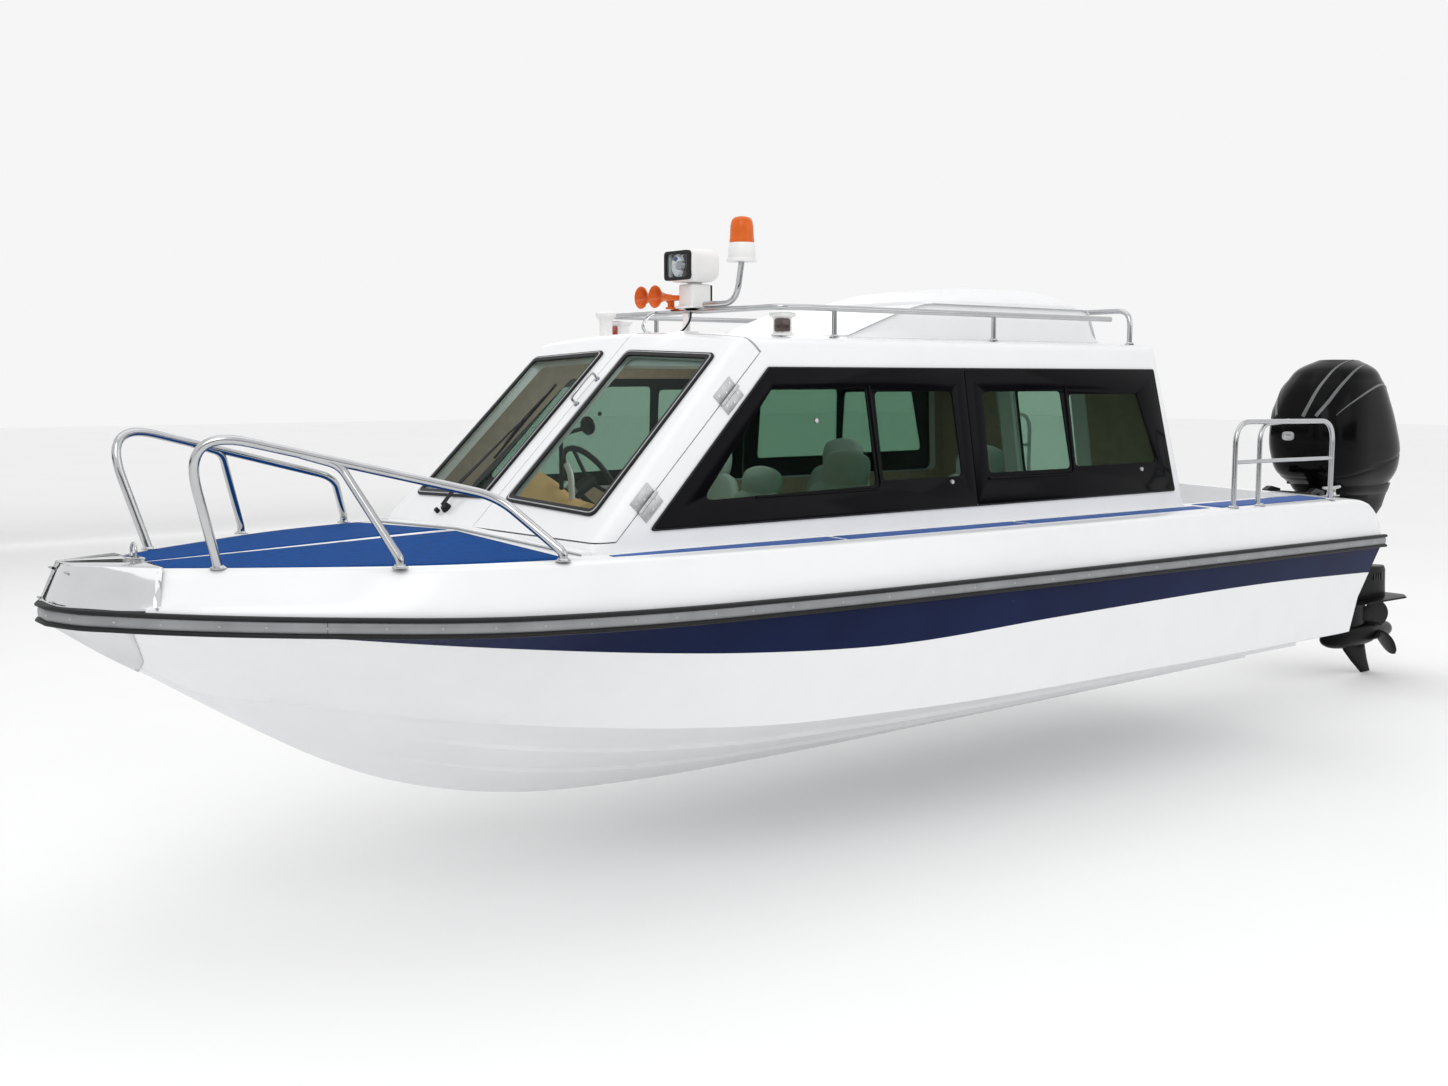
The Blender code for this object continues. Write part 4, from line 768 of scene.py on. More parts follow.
def make_rub_rail():
    upper = band("rail_bead_upper", bead(RECESS_HALF, RAIL_HALF, RAIL_DEPTH), RUBBER)
    lower = band("rail_bead_lower", bead(-RAIL_HALF, -RECESS_HALF, RAIL_DEPTH), RUBBER)
    ends = (-RECESS_HALF, RECESS_HALF)
    profile = [(0.001, ends[0]), (RECESS_DEPTH, ends[0]), (RECESS_DEPTH, ends[1]), (0.001, ends[1])]
    back = band("rail_back", profile, RUBBER)
    put(join("rub_rail_beads", [upper, lower, back]), stands_for=["rub_rail"])
    low, high, half = RECESS_DEPTH, RECESS_DEPTH + 0.007, RECESS_HALF - GAP
    profile = [(low, -half), (high - 0.003, -half), (high, -half * 0.5), (high, half * 0.5),
               (high - 0.003, half), (low, half)]
    strip = band("rub_rail_insert", profile, STRIP)
    put(strip, stands_for=["rub_rail_strip"])
    heads = []
    travelled = 0.0
    frames = sheer_frames()
    for (place, out), (ahead, _) in zip(frames, frames[1:]):
        travelled += (ahead - place).length
        if travelled > RAIL_SCREW_STEP:
            travelled = 0.0
            foot = place + out * (high - 0.001)
            heads.append(cylinder("head", foot, foot + out * 0.0022, 0.0055, BRUSHED, 12, 0.004))
    put(join("rub_rail_screws", heads))
    joints = []
    for place, out in frames:
        if min(abs(place.y - y) for y in RAIL_JOINTS) < 0.02:
            foot, up = place + out * (high - 0.0003), Vector((0, 0, half))
            joints.append(cylinder("joint", foot - up, foot + up, 0.0009, RUBBER, 8))
    put(join("rub_rail_joints", joints))


# Cabin
def wall_x(z):
    return CABIN_HALF - LEAN * (z - CABIN_BASE)


def front_y(x, z):
    return FRONT_Y + FRONT_VEE * abs(x) + FRONT_SLOPE * (z - CABIN_BASE)


def rear_y(z):
    return REAR_BASE_Y + REAR_SLOPE * (z - CABIN_BASE)


def cabin_profile(share, offset, floor):
    """Lengthwise section of the cabin, from its middle (0) to a side (1), moved out by the offset.

    The factors of the offset turn it from square to each wall into across, up, forward or aft.
    """
    def side(z):
        return share * (wall_x(z) + 1.008 * offset)
    knee = CABIN_BASE + 0.41 * offset
    front = FRONT_TOP_Z + ROOF_CROWN * (1 - share**2) + offset
    rear = REAR_TOP_Z + ROOF_CROWN * (1 - share**2) + offset
    ahead, behind = 1.42 * offset, 1.02 * offset
    return [(side(floor), front_y(side(floor), knee) - ahead, floor),
            (side(knee), front_y(side(knee), knee) - ahead, knee),
            (side(front), front_y(side(front), front) - ahead, front),
            (side(rear), rear_y(rear) + behind, rear), (side(floor), rear_y(floor) + behind, floor)]


def cabin_solid(name, offset, floor, mat=()):
    rings = [cabin_profile(share / 10, offset, floor) for share in range(-10, 11)]
    return loft(name, rings, mat, 25)


def frame_of(across, up, out, base):
    place = Matrix.Identity(4)
    for i, axis in enumerate((across, up, out, base)):
        place[0][i], place[1][i], place[2][i] = axis
    return place


def front_frame(side):
    """Frame of one half of the cabin front: X outward from the centre, Y up the slope, Z out of the wall."""
    across = Vector((side, FRONT_VEE, 0)).normalized()
    up = Vector((0, FRONT_SLOPE, 1)).normalized()
    out = across.cross(up).normalized()
    if out.y > 0:
        out = -out
    return frame_of(across, up, out, Vector((0, FRONT_Y, CABIN_BASE)))


def side_frame(side):
    out = Vector((side, 0, LEAN)).normalized()
    return frame_of(Vector((0, 1, 0)), Vector((-side * LEAN, 0, 1)), out, Vector((side * wall_x(0), 0, 0)))


def rear_frame():
    up = Vector((0, REAR_SLOPE, 1)).normalized()
    out = Vector((0, 1, -REAR_SLOPE)).normalized()
    return frame_of(Vector((1, 0, 0)), up, out, Vector((0, rear_y(0), 0)))


def seam_y(z):
    return SEAM_Y + SEAM_SLOPE * (z - CABIN_BASE)


def seam_frame(z):
    """Frame on the seam between the front door and the cabin side, at a height."""
    out = Vector((1, 0, LEAN)).normalized()
    up = Vector((-LEAN, SEAM_SLOPE, 1)).normalized()
    return frame_of(up.cross(out), up, out, Vector((wall_x(z), seam_y(z), z)))


def at_depth(place, depth):
    return place @ Matrix.Translation((0, 0, depth))


def outer_cabin(name):
    cabin = cabin_solid(name, 0.0, LEDGE_Z - 0.1, GELCOAT)
    return bevel(cabin, ROOF_ROUND, 6, 28)


def rear_slab(name, half, low, high, front, thick, mat):
    """Part of the raked rear wall between two heights."""
    (y0, z0), (y1, z1) = [(rear_y(z) - front, z) for z in (low, high)]
    return prism(name, [(y0, z0), (y1, z1), (y1 - thick, z1), (y0 - thick, z0)], half, mat)


def door_region(name, gap):
    """Space that the front door takes up, with a gap all round."""
    low, (y, z) = DOOR_LOW - gap, DOOR_TOP
    slack = 0.75 * gap if gap else -0.75 * DOOR_GAP
    y, z = y + 0.74 * gap + slack, z + 0.68 * gap
    side = [(seam_y(low) + slack, low), (y, z), (y - 0.6, z + 0.6 * SEAM_SLOPE), (-2.4, z + 0.7), (-2.4, low)]
    return loft(name, [[(x, y, z) for y, z in side] for x in (DOOR_INNER - gap, 1.2)])


def screen_hole(name, side):
    """Cutter of the windscreen's opening in one half of the cabin front."""
    hole = rounded_loop(shrunk(WINDSCREEN, WINDSCREEN_RIM / 2), 0.04)
    return outline(name, hole, 0.2, front_frame(side))


def make_cabin():
    cabin = outer_cabin("cabin_skin")
    cut(cabin, box("below", (-1, -3, 0), (1, 3, LEDGE_Z + GAP)))
    lower = rear_slab("lower", WELL_HALF - GAP, SOLE_Z + GAP, CABIN_BASE + 0.1, 0.003, WALL - 0.006, GELCOAT)
    cut(cabin, cabin_solid("room", -WALL, 0.4, LINING))
    unite(cabin, lower)
    cut(cabin, box("hatch_hole", *HATCH_HOLE))
    for side in (1, -1):
        hole = rounded_loop(shrunk(SIDE_GLASS, 0.035), 0.04)
        cut(cabin, outline("side_hole", hole, 0.2, side_frame(side)))
    cut(cabin, screen_hole("windscreen_hole", -1))
    recess = door_region("door_recess", DOOR_GAP)
    cut(recess, cabin_solid("behind_door", -DOOR_THICK - DOOR_GAP, 0.4))
    cut(cabin, recess)
    through = ((0.04, 0.10), (0.70, 0.09), (0.66, 0.94), (0.04, 0.95))
    cut(cabin, outline("door_hole", through, 0.3, front_frame(1)))
    low = (-REAR_DOOR_HALF - DOOR_GAP, REAR_DOOR_LOW - DOOR_GAP, -0.15)
    high = (REAR_DOOR_HALF + DOOR_GAP, REAR_DOOR_HIGH + DOOR_GAP, 0.05)
    cut(cabin, slab_in(rear_frame(), "rear_opening", low, high))
    put(rounded(cabin, 30), stands_for=["cabin_shell"])


def make_front_door():
    door = outer_cabin("front_door_skin")
    cut(door, cabin_solid("inside_door", -DOOR_THICK, 0.4, LINING))
    keep = box("around", (-2, -4, -1), (2, 4, 3))
    cut(keep, door_region("door_region", 0.0))
    cut(door, keep)
    cut(door, screen_hole("door_pane_hole", 1))
    put(rounded(door, 30), "front_door", ["front_door"])


# Panels and plates on the deck and bow
PANEL_RISE = 0.0015
PANEL_INSET = 0.055
# Ends of the side deck's strips, and where they step out past the cabin
SIDE_STRIPS = ((-1.62, -0.60), (-0.575, 0.47), (0.495, 1.80), (1.87, 2.84))
STRIP_STEP_Y = 1.85
# Outward direction of the nose cap's port side
NOSE_OUT = (0.77, -0.62, 0.15)


def make_deck_panels():
    def edge(y, limit):
        return min(limit, smooth_at(DECK_X, y) - PANEL_INSET)

    def fore_inner(y):
        return 0.012 + 0.026 * (y + 2.95) / 1.2

    def fore_outer(y):
        return edge(y, 0.90)

    def side_inner(y):
        return 0.785 if y > STRIP_STEP_Y else 0.842

    def side_outer(y):
        return edge(y, 0.955 if y > STRIP_STEP_Y else 0.935)

    for side, name in SIDES:
        fore = stations(-2.95, -1.775, 0.03)
        panel = deck_panel(f"foredeck_panel_{name}", fore, fore_inner, fore_outer, BLUE)
        strips = [deck_panel("strip", stations(start, end, 0.08), side_inner, side_outer, STRIP_BLUE, 4)
                  for start, end in SIDE_STRIPS]
        for piece in (panel, join(f"side_deck_strips_{name}", strips)):
            if side < 0:
                flip(piece.data)
            put(piece)


def make_foot_step():
    """Low raised step of the deck round the foot of the cabin front, with a thin bead along its front edge
    whose grey is painted shade of that edge.
    """
    rings, shade_beads = [], []
    for k in range(-20, 21):
        x = CABIN_HALF * k / 20
        y = front_y(x, CABIN_BASE)
        z = deck_top(x, y)
        rings.append([(x, y + 0.01, z - 0.01), (x, y - 0.032, z - 0.01), (x, y - 0.030, z + 0.008),
                      (x, y - 0.026, z + 0.011), (x, y + 0.01, z + 0.012)])
        shade_beads.append((x, y - 0.034, z + 0.002))
    put(loft("cabin_foot_step", rings, GELCOAT))
    # The bead's grey is painted shade along the step's front edge
    put(tube("cabin_foot_shade_bead", shade_beads, 0.0028, STRIP, 2))


def plate_from_rows(name, rows, mat):
    return sheet(name, rows, mat, 0.0016, 0, 50)


# Foot and upper edge of the nose cap on the port side, from the stem aft: (across, along, height)
CAP_FOOT = ((0.0, -3.244, 0.608), (0.067, -3.242, 0.608), (0.148, -3.207, 0.605), (0.272, -3.096, 0.599),
            (0.357, -2.985, 0.596))
CAP_EDGE = ((0.0, -3.187, 0.735), (0.084, -3.180, 0.735), (0.137, -3.112, 0.733), (0.205, -3.028, 0.730),
            (0.264, -2.945, 0.727))
CAP_BULGE = 0.016


def cap_line(points):
    """The line with its front facet straight and its side smooth, on both sides of the boat."""
    half = [Vector(points[0])] + flow(points[1:], 4)
    return [Vector((-p.x, p.y, p.z)) for p in half[:0:-1]] + half


def make_nose_cap():
    """Polished cap on the nose: a front facet, two bulged sides and a flat top."""
    foot, edge = cap_line(CAP_FOOT), cap_line(CAP_EDGE)
    middle = len(foot) // 2
    rows = []
    for level in range(9):
        share = level / 8
        row = []
        for i, (low, high) in enumerate(zip(foot, edge)):
            aft = max(0.0, (abs(i - middle) - 1) / (middle - 1))
            out = Vector((math.copysign(NOSE_OUT[0], low.x), *NOSE_OUT[1:]))
            row.append(low.lerp(high, share) + out * CAP_BULGE * aft * 4 * share * (1 - share))
        rows.append(row)
    for inward in (0.04, 0.5, 1.0):
        rows.append([Vector((p.x * (1 - inward), p.y, p.z + 0.003 + 0.006 * inward)) for p in edge])
    put(plate_from_rows("nose_cap", rows, MIRROR))


def make_bow_eye():
    """Mooring ring on its plate behind the nose cap."""
    y, z = -2.955, 0.738
    plate = box("plate", (-0.045, y - 0.024, z - 0.018), (0.045, y + 0.024, z + 0.003), STEEL, 0.002)
    turns = [math.pi * (k / 14 * 1.5 - 0.25) for k in range(15)]
    arch = [(0.027 * math.cos(turn), y, z + 0.022 + 0.027 * math.sin(turn)) for turn in turns]
    studs = [cylinder("stud", (x, y, z), (x, y, z + 0.008), 0.007, STEEL, 16) for x in (0.03, -0.03)]
    put(join("bow_eye", [plate, tube("ring", arch, 0.0048, STEEL)] + studs))


def make_stem_plate():
    rows = []
    for y in stations(-3.232, -2.955, 0.02):
        top = 0.90 if y < -3.06 else 0.90 - 0.80 * (y + 3.06) / 0.105
        half = [topside(y, top * s / 5) for s in range(6)]
        keel = smooth_at(KEEL, y)
        cx, _ = half[0]
        line = [(0.0, keel)] + [(cx * 0.5, keel + (half[0][1] - keel) * 0.5)] + half
        line = [(x + 0.0015, z - 0.001) if x > 0.001 else (x, z - 0.0025) for x, z in line]
        rows.append([(x, y - 0.001, z) for x, z in reversed(line)]
                    + [(-x, y - 0.001, z) for x, z in line[1:]])
    put(plate_from_rows("stem_plate", rows, MIRROR))


def make_plate_screws():
    screws = []
    for x, y, z in ((0.266, -2.963, 0.712), (0.350, -2.997, 0.612), (0.088, -3.196, 0.716),
                    (0.078, -3.238, 0.622)):
        for side in (1, -1):
            out = Vector((side * NOSE_OUT[0], *NOSE_OUT[1:])).normalized()
            base = Vector((side * x, y, z))
            foot, tip = base - out * 0.008, base + out * 0.005
            screws.append(cylinder("screw", foot, tip, 0.0048, BRUSHED, 16, 0.004))
    put(join("bow_plate_screws", screws))


# Rails and cleats
FLANGE = ((0.0, 0.0), (0.027, 0.0), (0.027, 0.004), (0.021, 0.006), (0.0175, 0.011), (0.0, 0.011))


def flange(x, y, z, scale=1.0):
    profile = [(radius * scale, height) for radius, height in FLANGE]
    return turned("flange", profile, (x, y, z), STEEL, steps=28)


def make_bow_rails():
    feet = [Vector((x, y, deck_top(x, y) + FOOT_LIFT)) for x,
            y in ((0.345, -2.797), (0.69, -2.33), (0.865, -1.82))]
    lift = Vector((0, 0, 0.03))
    path = bent([feet[0], (0.41, -2.925, 1.182), (0.66, -1.95, 0.933), feet[2] + lift, feet[2]], 0.19, 14)
    leg = bent([(0.500, -2.575, 1.090), (0.530, -2.455, 1.052), feet[1] + lift, feet[1]], 0.08, 12)
    parts = [tube("top", path, 0.016, STEEL, 7), tube("leg", leg, 0.0144, STEEL, 7)]
    put_pair("bow_rail_tubes", parts + [flange(*foot) for foot in feet], "bow_rail")


def make_aft_rails():
    front, middle, back = ((0.985, 1.92), (0.99, 2.14), (1.0, 2.77))
    feet = [Vector((x, y, smooth_at(DECK_Z, y) + FOOT_LIFT)) for x, y in (front, middle, back)]
    loop = bent([feet[0], (*front, 1.125), (*back, 1.115), feet[2]], 0.11, 14)
    branch = bent([(0.978, 2.14, feet[1].z), (0.978, 2.14, 1.11), (0.972, 2.40, 1.121)], 0.09, 12)
    bar = [(*front, 0.93), (*middle, 0.93), (*back, 0.925)]
    parts = [tube("loop", loop, RAIL_TUBE, STEEL, 7), tube("branch", branch, 0.0119, STEEL, 7),
             tube("bar", bar, 0.010, STEEL, 6)]
    put_pair("aft_rail_tubes", parts + [flange(*foot) for foot in feet], "aft_rail")


def make_cleats():
    x, y = 0.90, 2.96
    z = deck_top(x, y) + FOOT_LIFT
    base = box("base", (x - 0.02, y - 0.052, z), (x + 0.02, y + 0.052, z + 0.008), STEEL, 0.003)
    profile = [(0.0, 0.0), (0.014, 0.0), (0.0095, 0.010), (0.0075, 0.025), (0.009, 0.042), (0.0, 0.046)]
    studs = [turned("stud", profile, (x, y + shift, z + 0.004), STEEL, steps=24) for shift in (-0.028, 0.028)]
    line = flow([(x, y - 0.085, z + 0.049), (x, y - 0.05, z + 0.046), (x, y, z + 0.045),
                 (x, y + 0.05, z + 0.046), (x, y + 0.085, z + 0.049)], 5)
    taper = [0.45 + 0.55 * math.sin(math.pi * (k + 0.5) / len(line))**0.5 for k in range(len(line))]
    put_pair("cleat_horn", [base, tube("horn", line, 0.0095, STEEL, 6, taper)] + studs, "cleat")


def roof_z(x):
    return ROOF_EDGE_Z + ROOF_CROWN * (1 - (x / ROOF_HALF)**2)


def make_roof_rails():
    across, ahead, height = 0.61, -0.65, ROOF_RAIL_Z
    corners = [(across, 1.42, height), (across, ahead, height), (-across, ahead, height),
               (-across, 1.42, height)]
    path = bent(corners, 0.06, 12)
    pieces = [tube("rail", path, RAIL_TUBE, STEEL, 7)]
    for side in (1, -1):
        for y in (-0.36, 0.595):
            foot = Vector((side * across, y, roof_z(across)))
            pieces += [cylinder("post", foot, (foot.x, y, height), 0.011, STEEL, 24), flange(*foot, 0.82)]
    put(join("roof_rail_tubes", pieces), stands_for=["roof_rail"])
    x, y = 0.635, 1.54
    hoop = bent([(x, y, roof_z(x)), (x, y, 1.655), (-x, y, 1.655), (-x, y, roof_z(x))], 0.09, 14)
    pieces = [tube("hoop", hoop, RAIL_TUBE, STEEL, 7)]
    pieces += [flange(foot, y, roof_z(x), 0.86) for foot in (x, -x)]
    put(join("roof_hoop_tubes", pieces), stands_for=["roof_hoop"])


# Doors and glass
def hinge_leaf(place, name, low_x, high_x, body, knuckles):
    """One leaf of a butt hinge on the frame's Y axis, with its knuckles and three screws."""
    pieces = [slab_in(place, "leaf", (low_x, -0.055, 0.0), (high_x, 0.055, 0.003), BRUSHED, 0.001)]
    near = min(low_x, high_x, key=abs)
    for low, high in knuckles:
        pin = points_in(place, ((0, low, PIN_OUT), (0, high, PIN_OUT)))
        pieces.append(cylinder("knuckle", *pin, 0.0075, STEEL, 20))
        pieces.append(slab_in(place, "web", (min(near, 0), low, 0.001), (max(near, 0), high, 0.006), BRUSHED))
    for v in (-0.036, 0.0, 0.036):
        u = (low_x + high_x) / 2 + (0.008 if v == 0 else -0.006)
        screw = points_in(place, ((u, v, 0.003), (u, v, 0.0045)))
        pieces.append(cylinder("screw", *screw, 0.0045, STEEL, 14))
    put(join(name, pieces), body)


def make_hinges():
    places = [("front", seam_frame(z), "front_door") for z in (0.893, 1.268)]
    shift = Matrix.Translation((REAR_DOOR_HALF + DOOR_GAP / 2, 0, 0))
    places += [("rear", rear_frame() @ shift @ Matrix.Translation((0, v, 0)), "rear_door")
               for v in (0.25, 1.05)]
    for i, (name, place, body) in enumerate(places):
        hinge_leaf(place, f"hinge_{name}_door_leaf_{i}", -0.048, -0.003, body, ((-0.018, 0.018),))
        hinge_leaf(place, f"hinge_{name}_wall_leaf_{i}", 0.003, 0.048, "boat",
                   ((-0.055, -0.019), (0.019, 0.055)))


def make_handles():
    place = front_frame(1)
    line = [(0.030, 0.702, 0.0), (0.030, 0.702, 0.034), (0.042, 0.745, 0.045), (0.040, 0.80, 0.045),
            (0.030, 0.842, 0.034), (0.030, 0.842, 0.0)]
    bar = tube("bar", flow(points_in(place, line), 6), 0.0058, STEEL)
    feet = [cylinder("foot", *points_in(place, ((0.030, v, 0.0), (0.030, v, 0.006))), 0.013, STEEL, 24, 0.011)
            for v in (0.702, 0.842)]
    put(join("front_door_handle", [bar] + feet), "front_door")
    line = ((-0.25, 0.62, 0.0), (-0.25, 0.62, 0.04), (-0.25, 0.78, 0.04), (-0.25, 0.78, 0.0))
    path = bent(points_in(rear_frame(), line), 0.015, 6)
    put(tube("rear_door_handle", path, 0.007, STEEL), "rear_door")


def make_rear_door():
    place = rear_frame()
    door = slab_in(place, "rear_door_skin", (-REAR_DOOR_HALF, REAR_DOOR_LOW, -WALL),
                   (REAR_DOOR_HALF, REAR_DOOR_HIGH, 0.0), GELCOAT, 0.006)
    cut(door, outline("pane_hole", rounded_oblong(0.2, 0.83, 1.31, 0.04), 0.2, place))
    cut(door, outline("lower_panel", rounded_oblong(0.21, 0.24, 0.72, 0.04), 0.012, place))
    put(rounded(door, 30), "rear_door", ["rear_door"])
    outer, inner = rounded_oblong(0.215, 0.815, 1.325, 0.05), rounded_oblong(0.188, 0.842, 1.298, 0.03)
    seal = outline("rear_pane_seal", outer, 0.006, at_depth(place, 0.003), RUBBER, (inner,), 0.002)
    put(seal, "rear_door")


def make_windscreens():
    for side, name, body in ((1, "port", "front_door"), (-1, "starboard", "boat")):
        place = front_frame(side)
        outer = rounded_loop(WINDSCREEN, 0.035)
        inner = rounded_loop(shrunk(WINDSCREEN, WINDSCREEN_RIM), 0.02)
        seal = outline(f"screen_seal_{name}", outer, 0.010, at_depth(place, 0.005), RUBBER, (inner,), 0.003)
        put(seal, body, [f"windscreen_seal_{name}"])
        lip_out = rounded_loop(shrunk(WINDSCREEN, 0.008), 0.03)
        lip_in = rounded_loop(shrunk(WINDSCREEN, 0.013), 0.028)
        above = at_depth(place, 0.0105)
        trim = outline(f"screen_trim_{name}", lip_out, 0.003, above, BRUSHED, (lip_in,), 0.001)
        put(trim, body)


def make_wiper():
    """Wiper of the starboard screen: motor cap and knob, two arms, and a blade with a thin rod along it."""
    place = front_frame(-1)
    foot, out = place @ Vector((0.305, 0.105, 0.0)), place.to_3x3() @ Vector((0, 0, 1))
    cap = [(0.0, 0.0), (0.020, 0.0), (0.021, 0.006), (0.017, 0.022), (0.0, 0.026)]
    knob = points_in(place, ((0.36, 0.085, 0.0), (0.36, 0.085, 0.018)))
    pieces = [turned("cap", cap, foot, RUBBER, out, 24), cylinder("knob", *knob, 0.010, RUBBER, 20)]
    rods = [(((u, 0.105, 0.024), (u - 0.010, 0.20, 0.034), (0.236, 0.50, 0.034), (0.226, 0.585, 0.026)),
             0.0042, DARK_METAL, 4) for u in (0.305, 0.325)]
    rods += [(((0.226, 0.375, 0.017), (0.226, 0.585, 0.019), (0.226, 0.794, 0.017)), 0.0052, RUBBER, 4),
             (((0.226, 0.45, 0.022), (0.226, 0.585, 0.030), (0.226, 0.72, 0.022)), 0.0032, DARK_METAL, 3)]
    for line, radius, mat, resolution in rods:
        pieces.append(tube("rod", points_in(place, line), radius, mat, resolution))
    put(join("wiper_parts", pieces), stands_for=["wiper"])


# Lower and aft edges of the sliding panes, and the latches: along, up and out of the cabin side
PANE_RIMS = (((-0.915, 0.889, 0.008), (-0.262, 0.890, 0.008), (-0.290, 1.300, 0.008)),
             ((0.385, 0.905, 0.008), (0.956, 0.905, 0.008), (0.936, 1.290, 0.008)))
WINDOW_LATCHES = ((0.153, 0.900), (1.456, 0.905), (-0.586, 1.168))


def make_side_windows():
    """Black glass panels with their openings, the sliding panes' frames and latches."""
    (jx1, jz1), (jx0, jz0) = SIDE_JOINT
    for side, name in SIDES:
        place = side_frame(side)
        front = [SIDE_GLASS[0], (jx0 - 0.002, jz0), (jx1 - 0.002, jz1), SIDE_GLASS[3]]
        rear = [(jx0 + 0.002, jz0), SIDE_GLASS[1], SIDE_GLASS[2], (jx1 + 0.002, jz1)]
        for part, edge, openings in (("front", front, SIDE_OPENINGS[:2]), ("rear", rear, SIDE_OPENINGS[2:])):
            holes = [rounded_loop(opening, 0.024) for opening in openings]
            panel = outline(f"side_window_{part}_{name}", rounded_loop(edge, 0.010, 4), GLASS,
                            at_depth(place, GLASS / 2 + GAP), FRIT, holes, 0.0015)
            put(panel, stands_for=[f"side_glass_{part}_{name}"])
        rim_out = rounded_loop(shrunk(SIDE_GLASS, -0.004), 0.012)
        rim_in = rounded_loop(shrunk(SIDE_GLASS, 0.002), 0.010)
        bead_place = at_depth(place, 0.0038)
        bead = outline(f"side_window_bead_{name}", rim_out, 0.007, bead_place, RUBBER, (rim_in,), 0.002)
        put(bead)
        rims = [tube("rim", bent(points_in(place, corners), 0.02, 6), 0.0055, FRIT, 3)
                for corners in PANE_RIMS]
        put(join(f"sliding_pane_rims_{name}", rims))
        ends = [points_in(place, ((y, z, 0.006), (y, z, 0.013))) for y, z in WINDOW_LATCHES]
        latches = [cylinder("latch", foot, tip, 0.011, BRUSHED, 24, 0.009) for foot, tip in ends]
        put(join(f"window_latches_{name}", latches))


# Roof
TRUNK_TOP = 1.66
HATCH_HOLE = ((-0.32, 0.62, 1.2), (0.32, 1.28, 1.9))
SEARCHLIGHT_AT = (0.05, -0.64)
BEACON_AT = (0.35, -0.63)


def make_trunk():
    rings = []
    for y, top in ((-0.15, 1.515), (0.02, 1.575), (0.18, 1.628), (0.30, 1.655), (0.36, TRUNK_TOP),
                   (0.7, TRUNK_TOP), (1.1, TRUNK_TOP), (1.40, TRUNK_TOP), (1.435, TRUNK_TOP - 0.006),
                   (1.46, 1.60), (1.50, 1.51)):
        rise = top - 1.49
        half = [(0.515, 1.47), (0.505, 1.50), (0.478, 1.49 + 0.45 * rise), (0.462, 1.49 + 0.85 * rise),
                (0.450, top - 0.002), (0.435, top), (0.0, top)]
        line = flow([(x, 0, z) for x, z in half], 3)
        rings.append(both_sides([(p.x, y, p.z) for p in line]))
    trunk = loft("trunk_skin", rings, GELCOAT, 35)
    cut(trunk, cabin_solid("roof_below", GAP, LEDGE_Z))
    cut(trunk, box("hatch_hole", *HATCH_HOLE))
    put(rounded(trunk, 35), stands_for=["roof_trunk"])


def make_hatch():
    base = TRUNK_TOP + GAP
    rows = ((1.0, 0.0), (1.0, 0.012), (0.995, 0.018), (0.975, 0.021), (0.955, 0.0225), (0.945, 0.027),
            (0.90, 0.047), (0.80, 0.068), (0.66, 0.084), (0.50, 0.095), (0.33, 0.102), (0.16, 0.106),
            (0.04, 0.107))
    rings = []
    for scale, rise in rows:
        centre = (0.0, 0.94 + 0.27 * (1 - scale))
        rings.append(squircle(centre, 0.44 * scale, 0.56 * scale, base + rise, 6.0 if scale > 0.9 else 4.0))
    hatch = loft("hatch_skin", rings, GELCOAT, 50)
    put(hatch, "roof_hatch", ["roof_hatch"])


def make_searchlight():
    x, y = SEARCHLIGHT_AT
    head = box("head", (x - 0.10, y - 0.095, 1.731), (x + 0.10, y + 0.075, 1.866), PLASTIC, 0.045, 6)
    cut(head, box("recess", (x - 0.078, y - 0.15, 1.744), (x + 0.078, y - 0.062, 1.852), (), 0.012))
    face = frame_of((1, 0, 0), (0, 0, 1), (0, -1, 0), (x, y - 0.089, 1.798))
    rim = outline("rim", rounded_oblong(0.086, -0.060, 0.060, 0.02), 0.014, face, RUBBER,
                  (rounded_oblong(0.072, -0.047, 0.047, 0.014),))
    reflector = box("reflector", (x - 0.074, y - 0.068, 1.748), (x + 0.074, y - 0.060, 1.848), MIRROR)
    profile = [(0.0, 0.002), (0.020, 0.003), (0.034, 0.008), (0.044, 0.017), (0.046, 0.018)]
    dish = turned("dish", profile, (x, y - 0.068, 1.798), MIRROR, (0, -1, 0), 36)
    bulb = cylinder("bulb", (x, y - 0.085, 1.798), (x, y - 0.066, 1.798), 0.018, BRUSHED, 24)
    neck = cylinder("neck", (x, y, 1.7245), (x, y, 1.75), 0.03, PLASTIC)
    skin = join("searchlight_skin", [head, rim, reflector, dish, bulb, neck])
    put(skin, "searchlight", ["searchlight_head"])
    lens = box("searchlight_lens", (x - 0.074, y - 0.092, 1.749), (x + 0.074, y - 0.089, 1.847), LAMP)
    put(lens, "searchlight")
    strip = box("searchlight_strip", (x + 0.035, y + 0.0505, 1.64), (x + 0.048, y + 0.056, 1.72), RUBBER)
    put(strip)


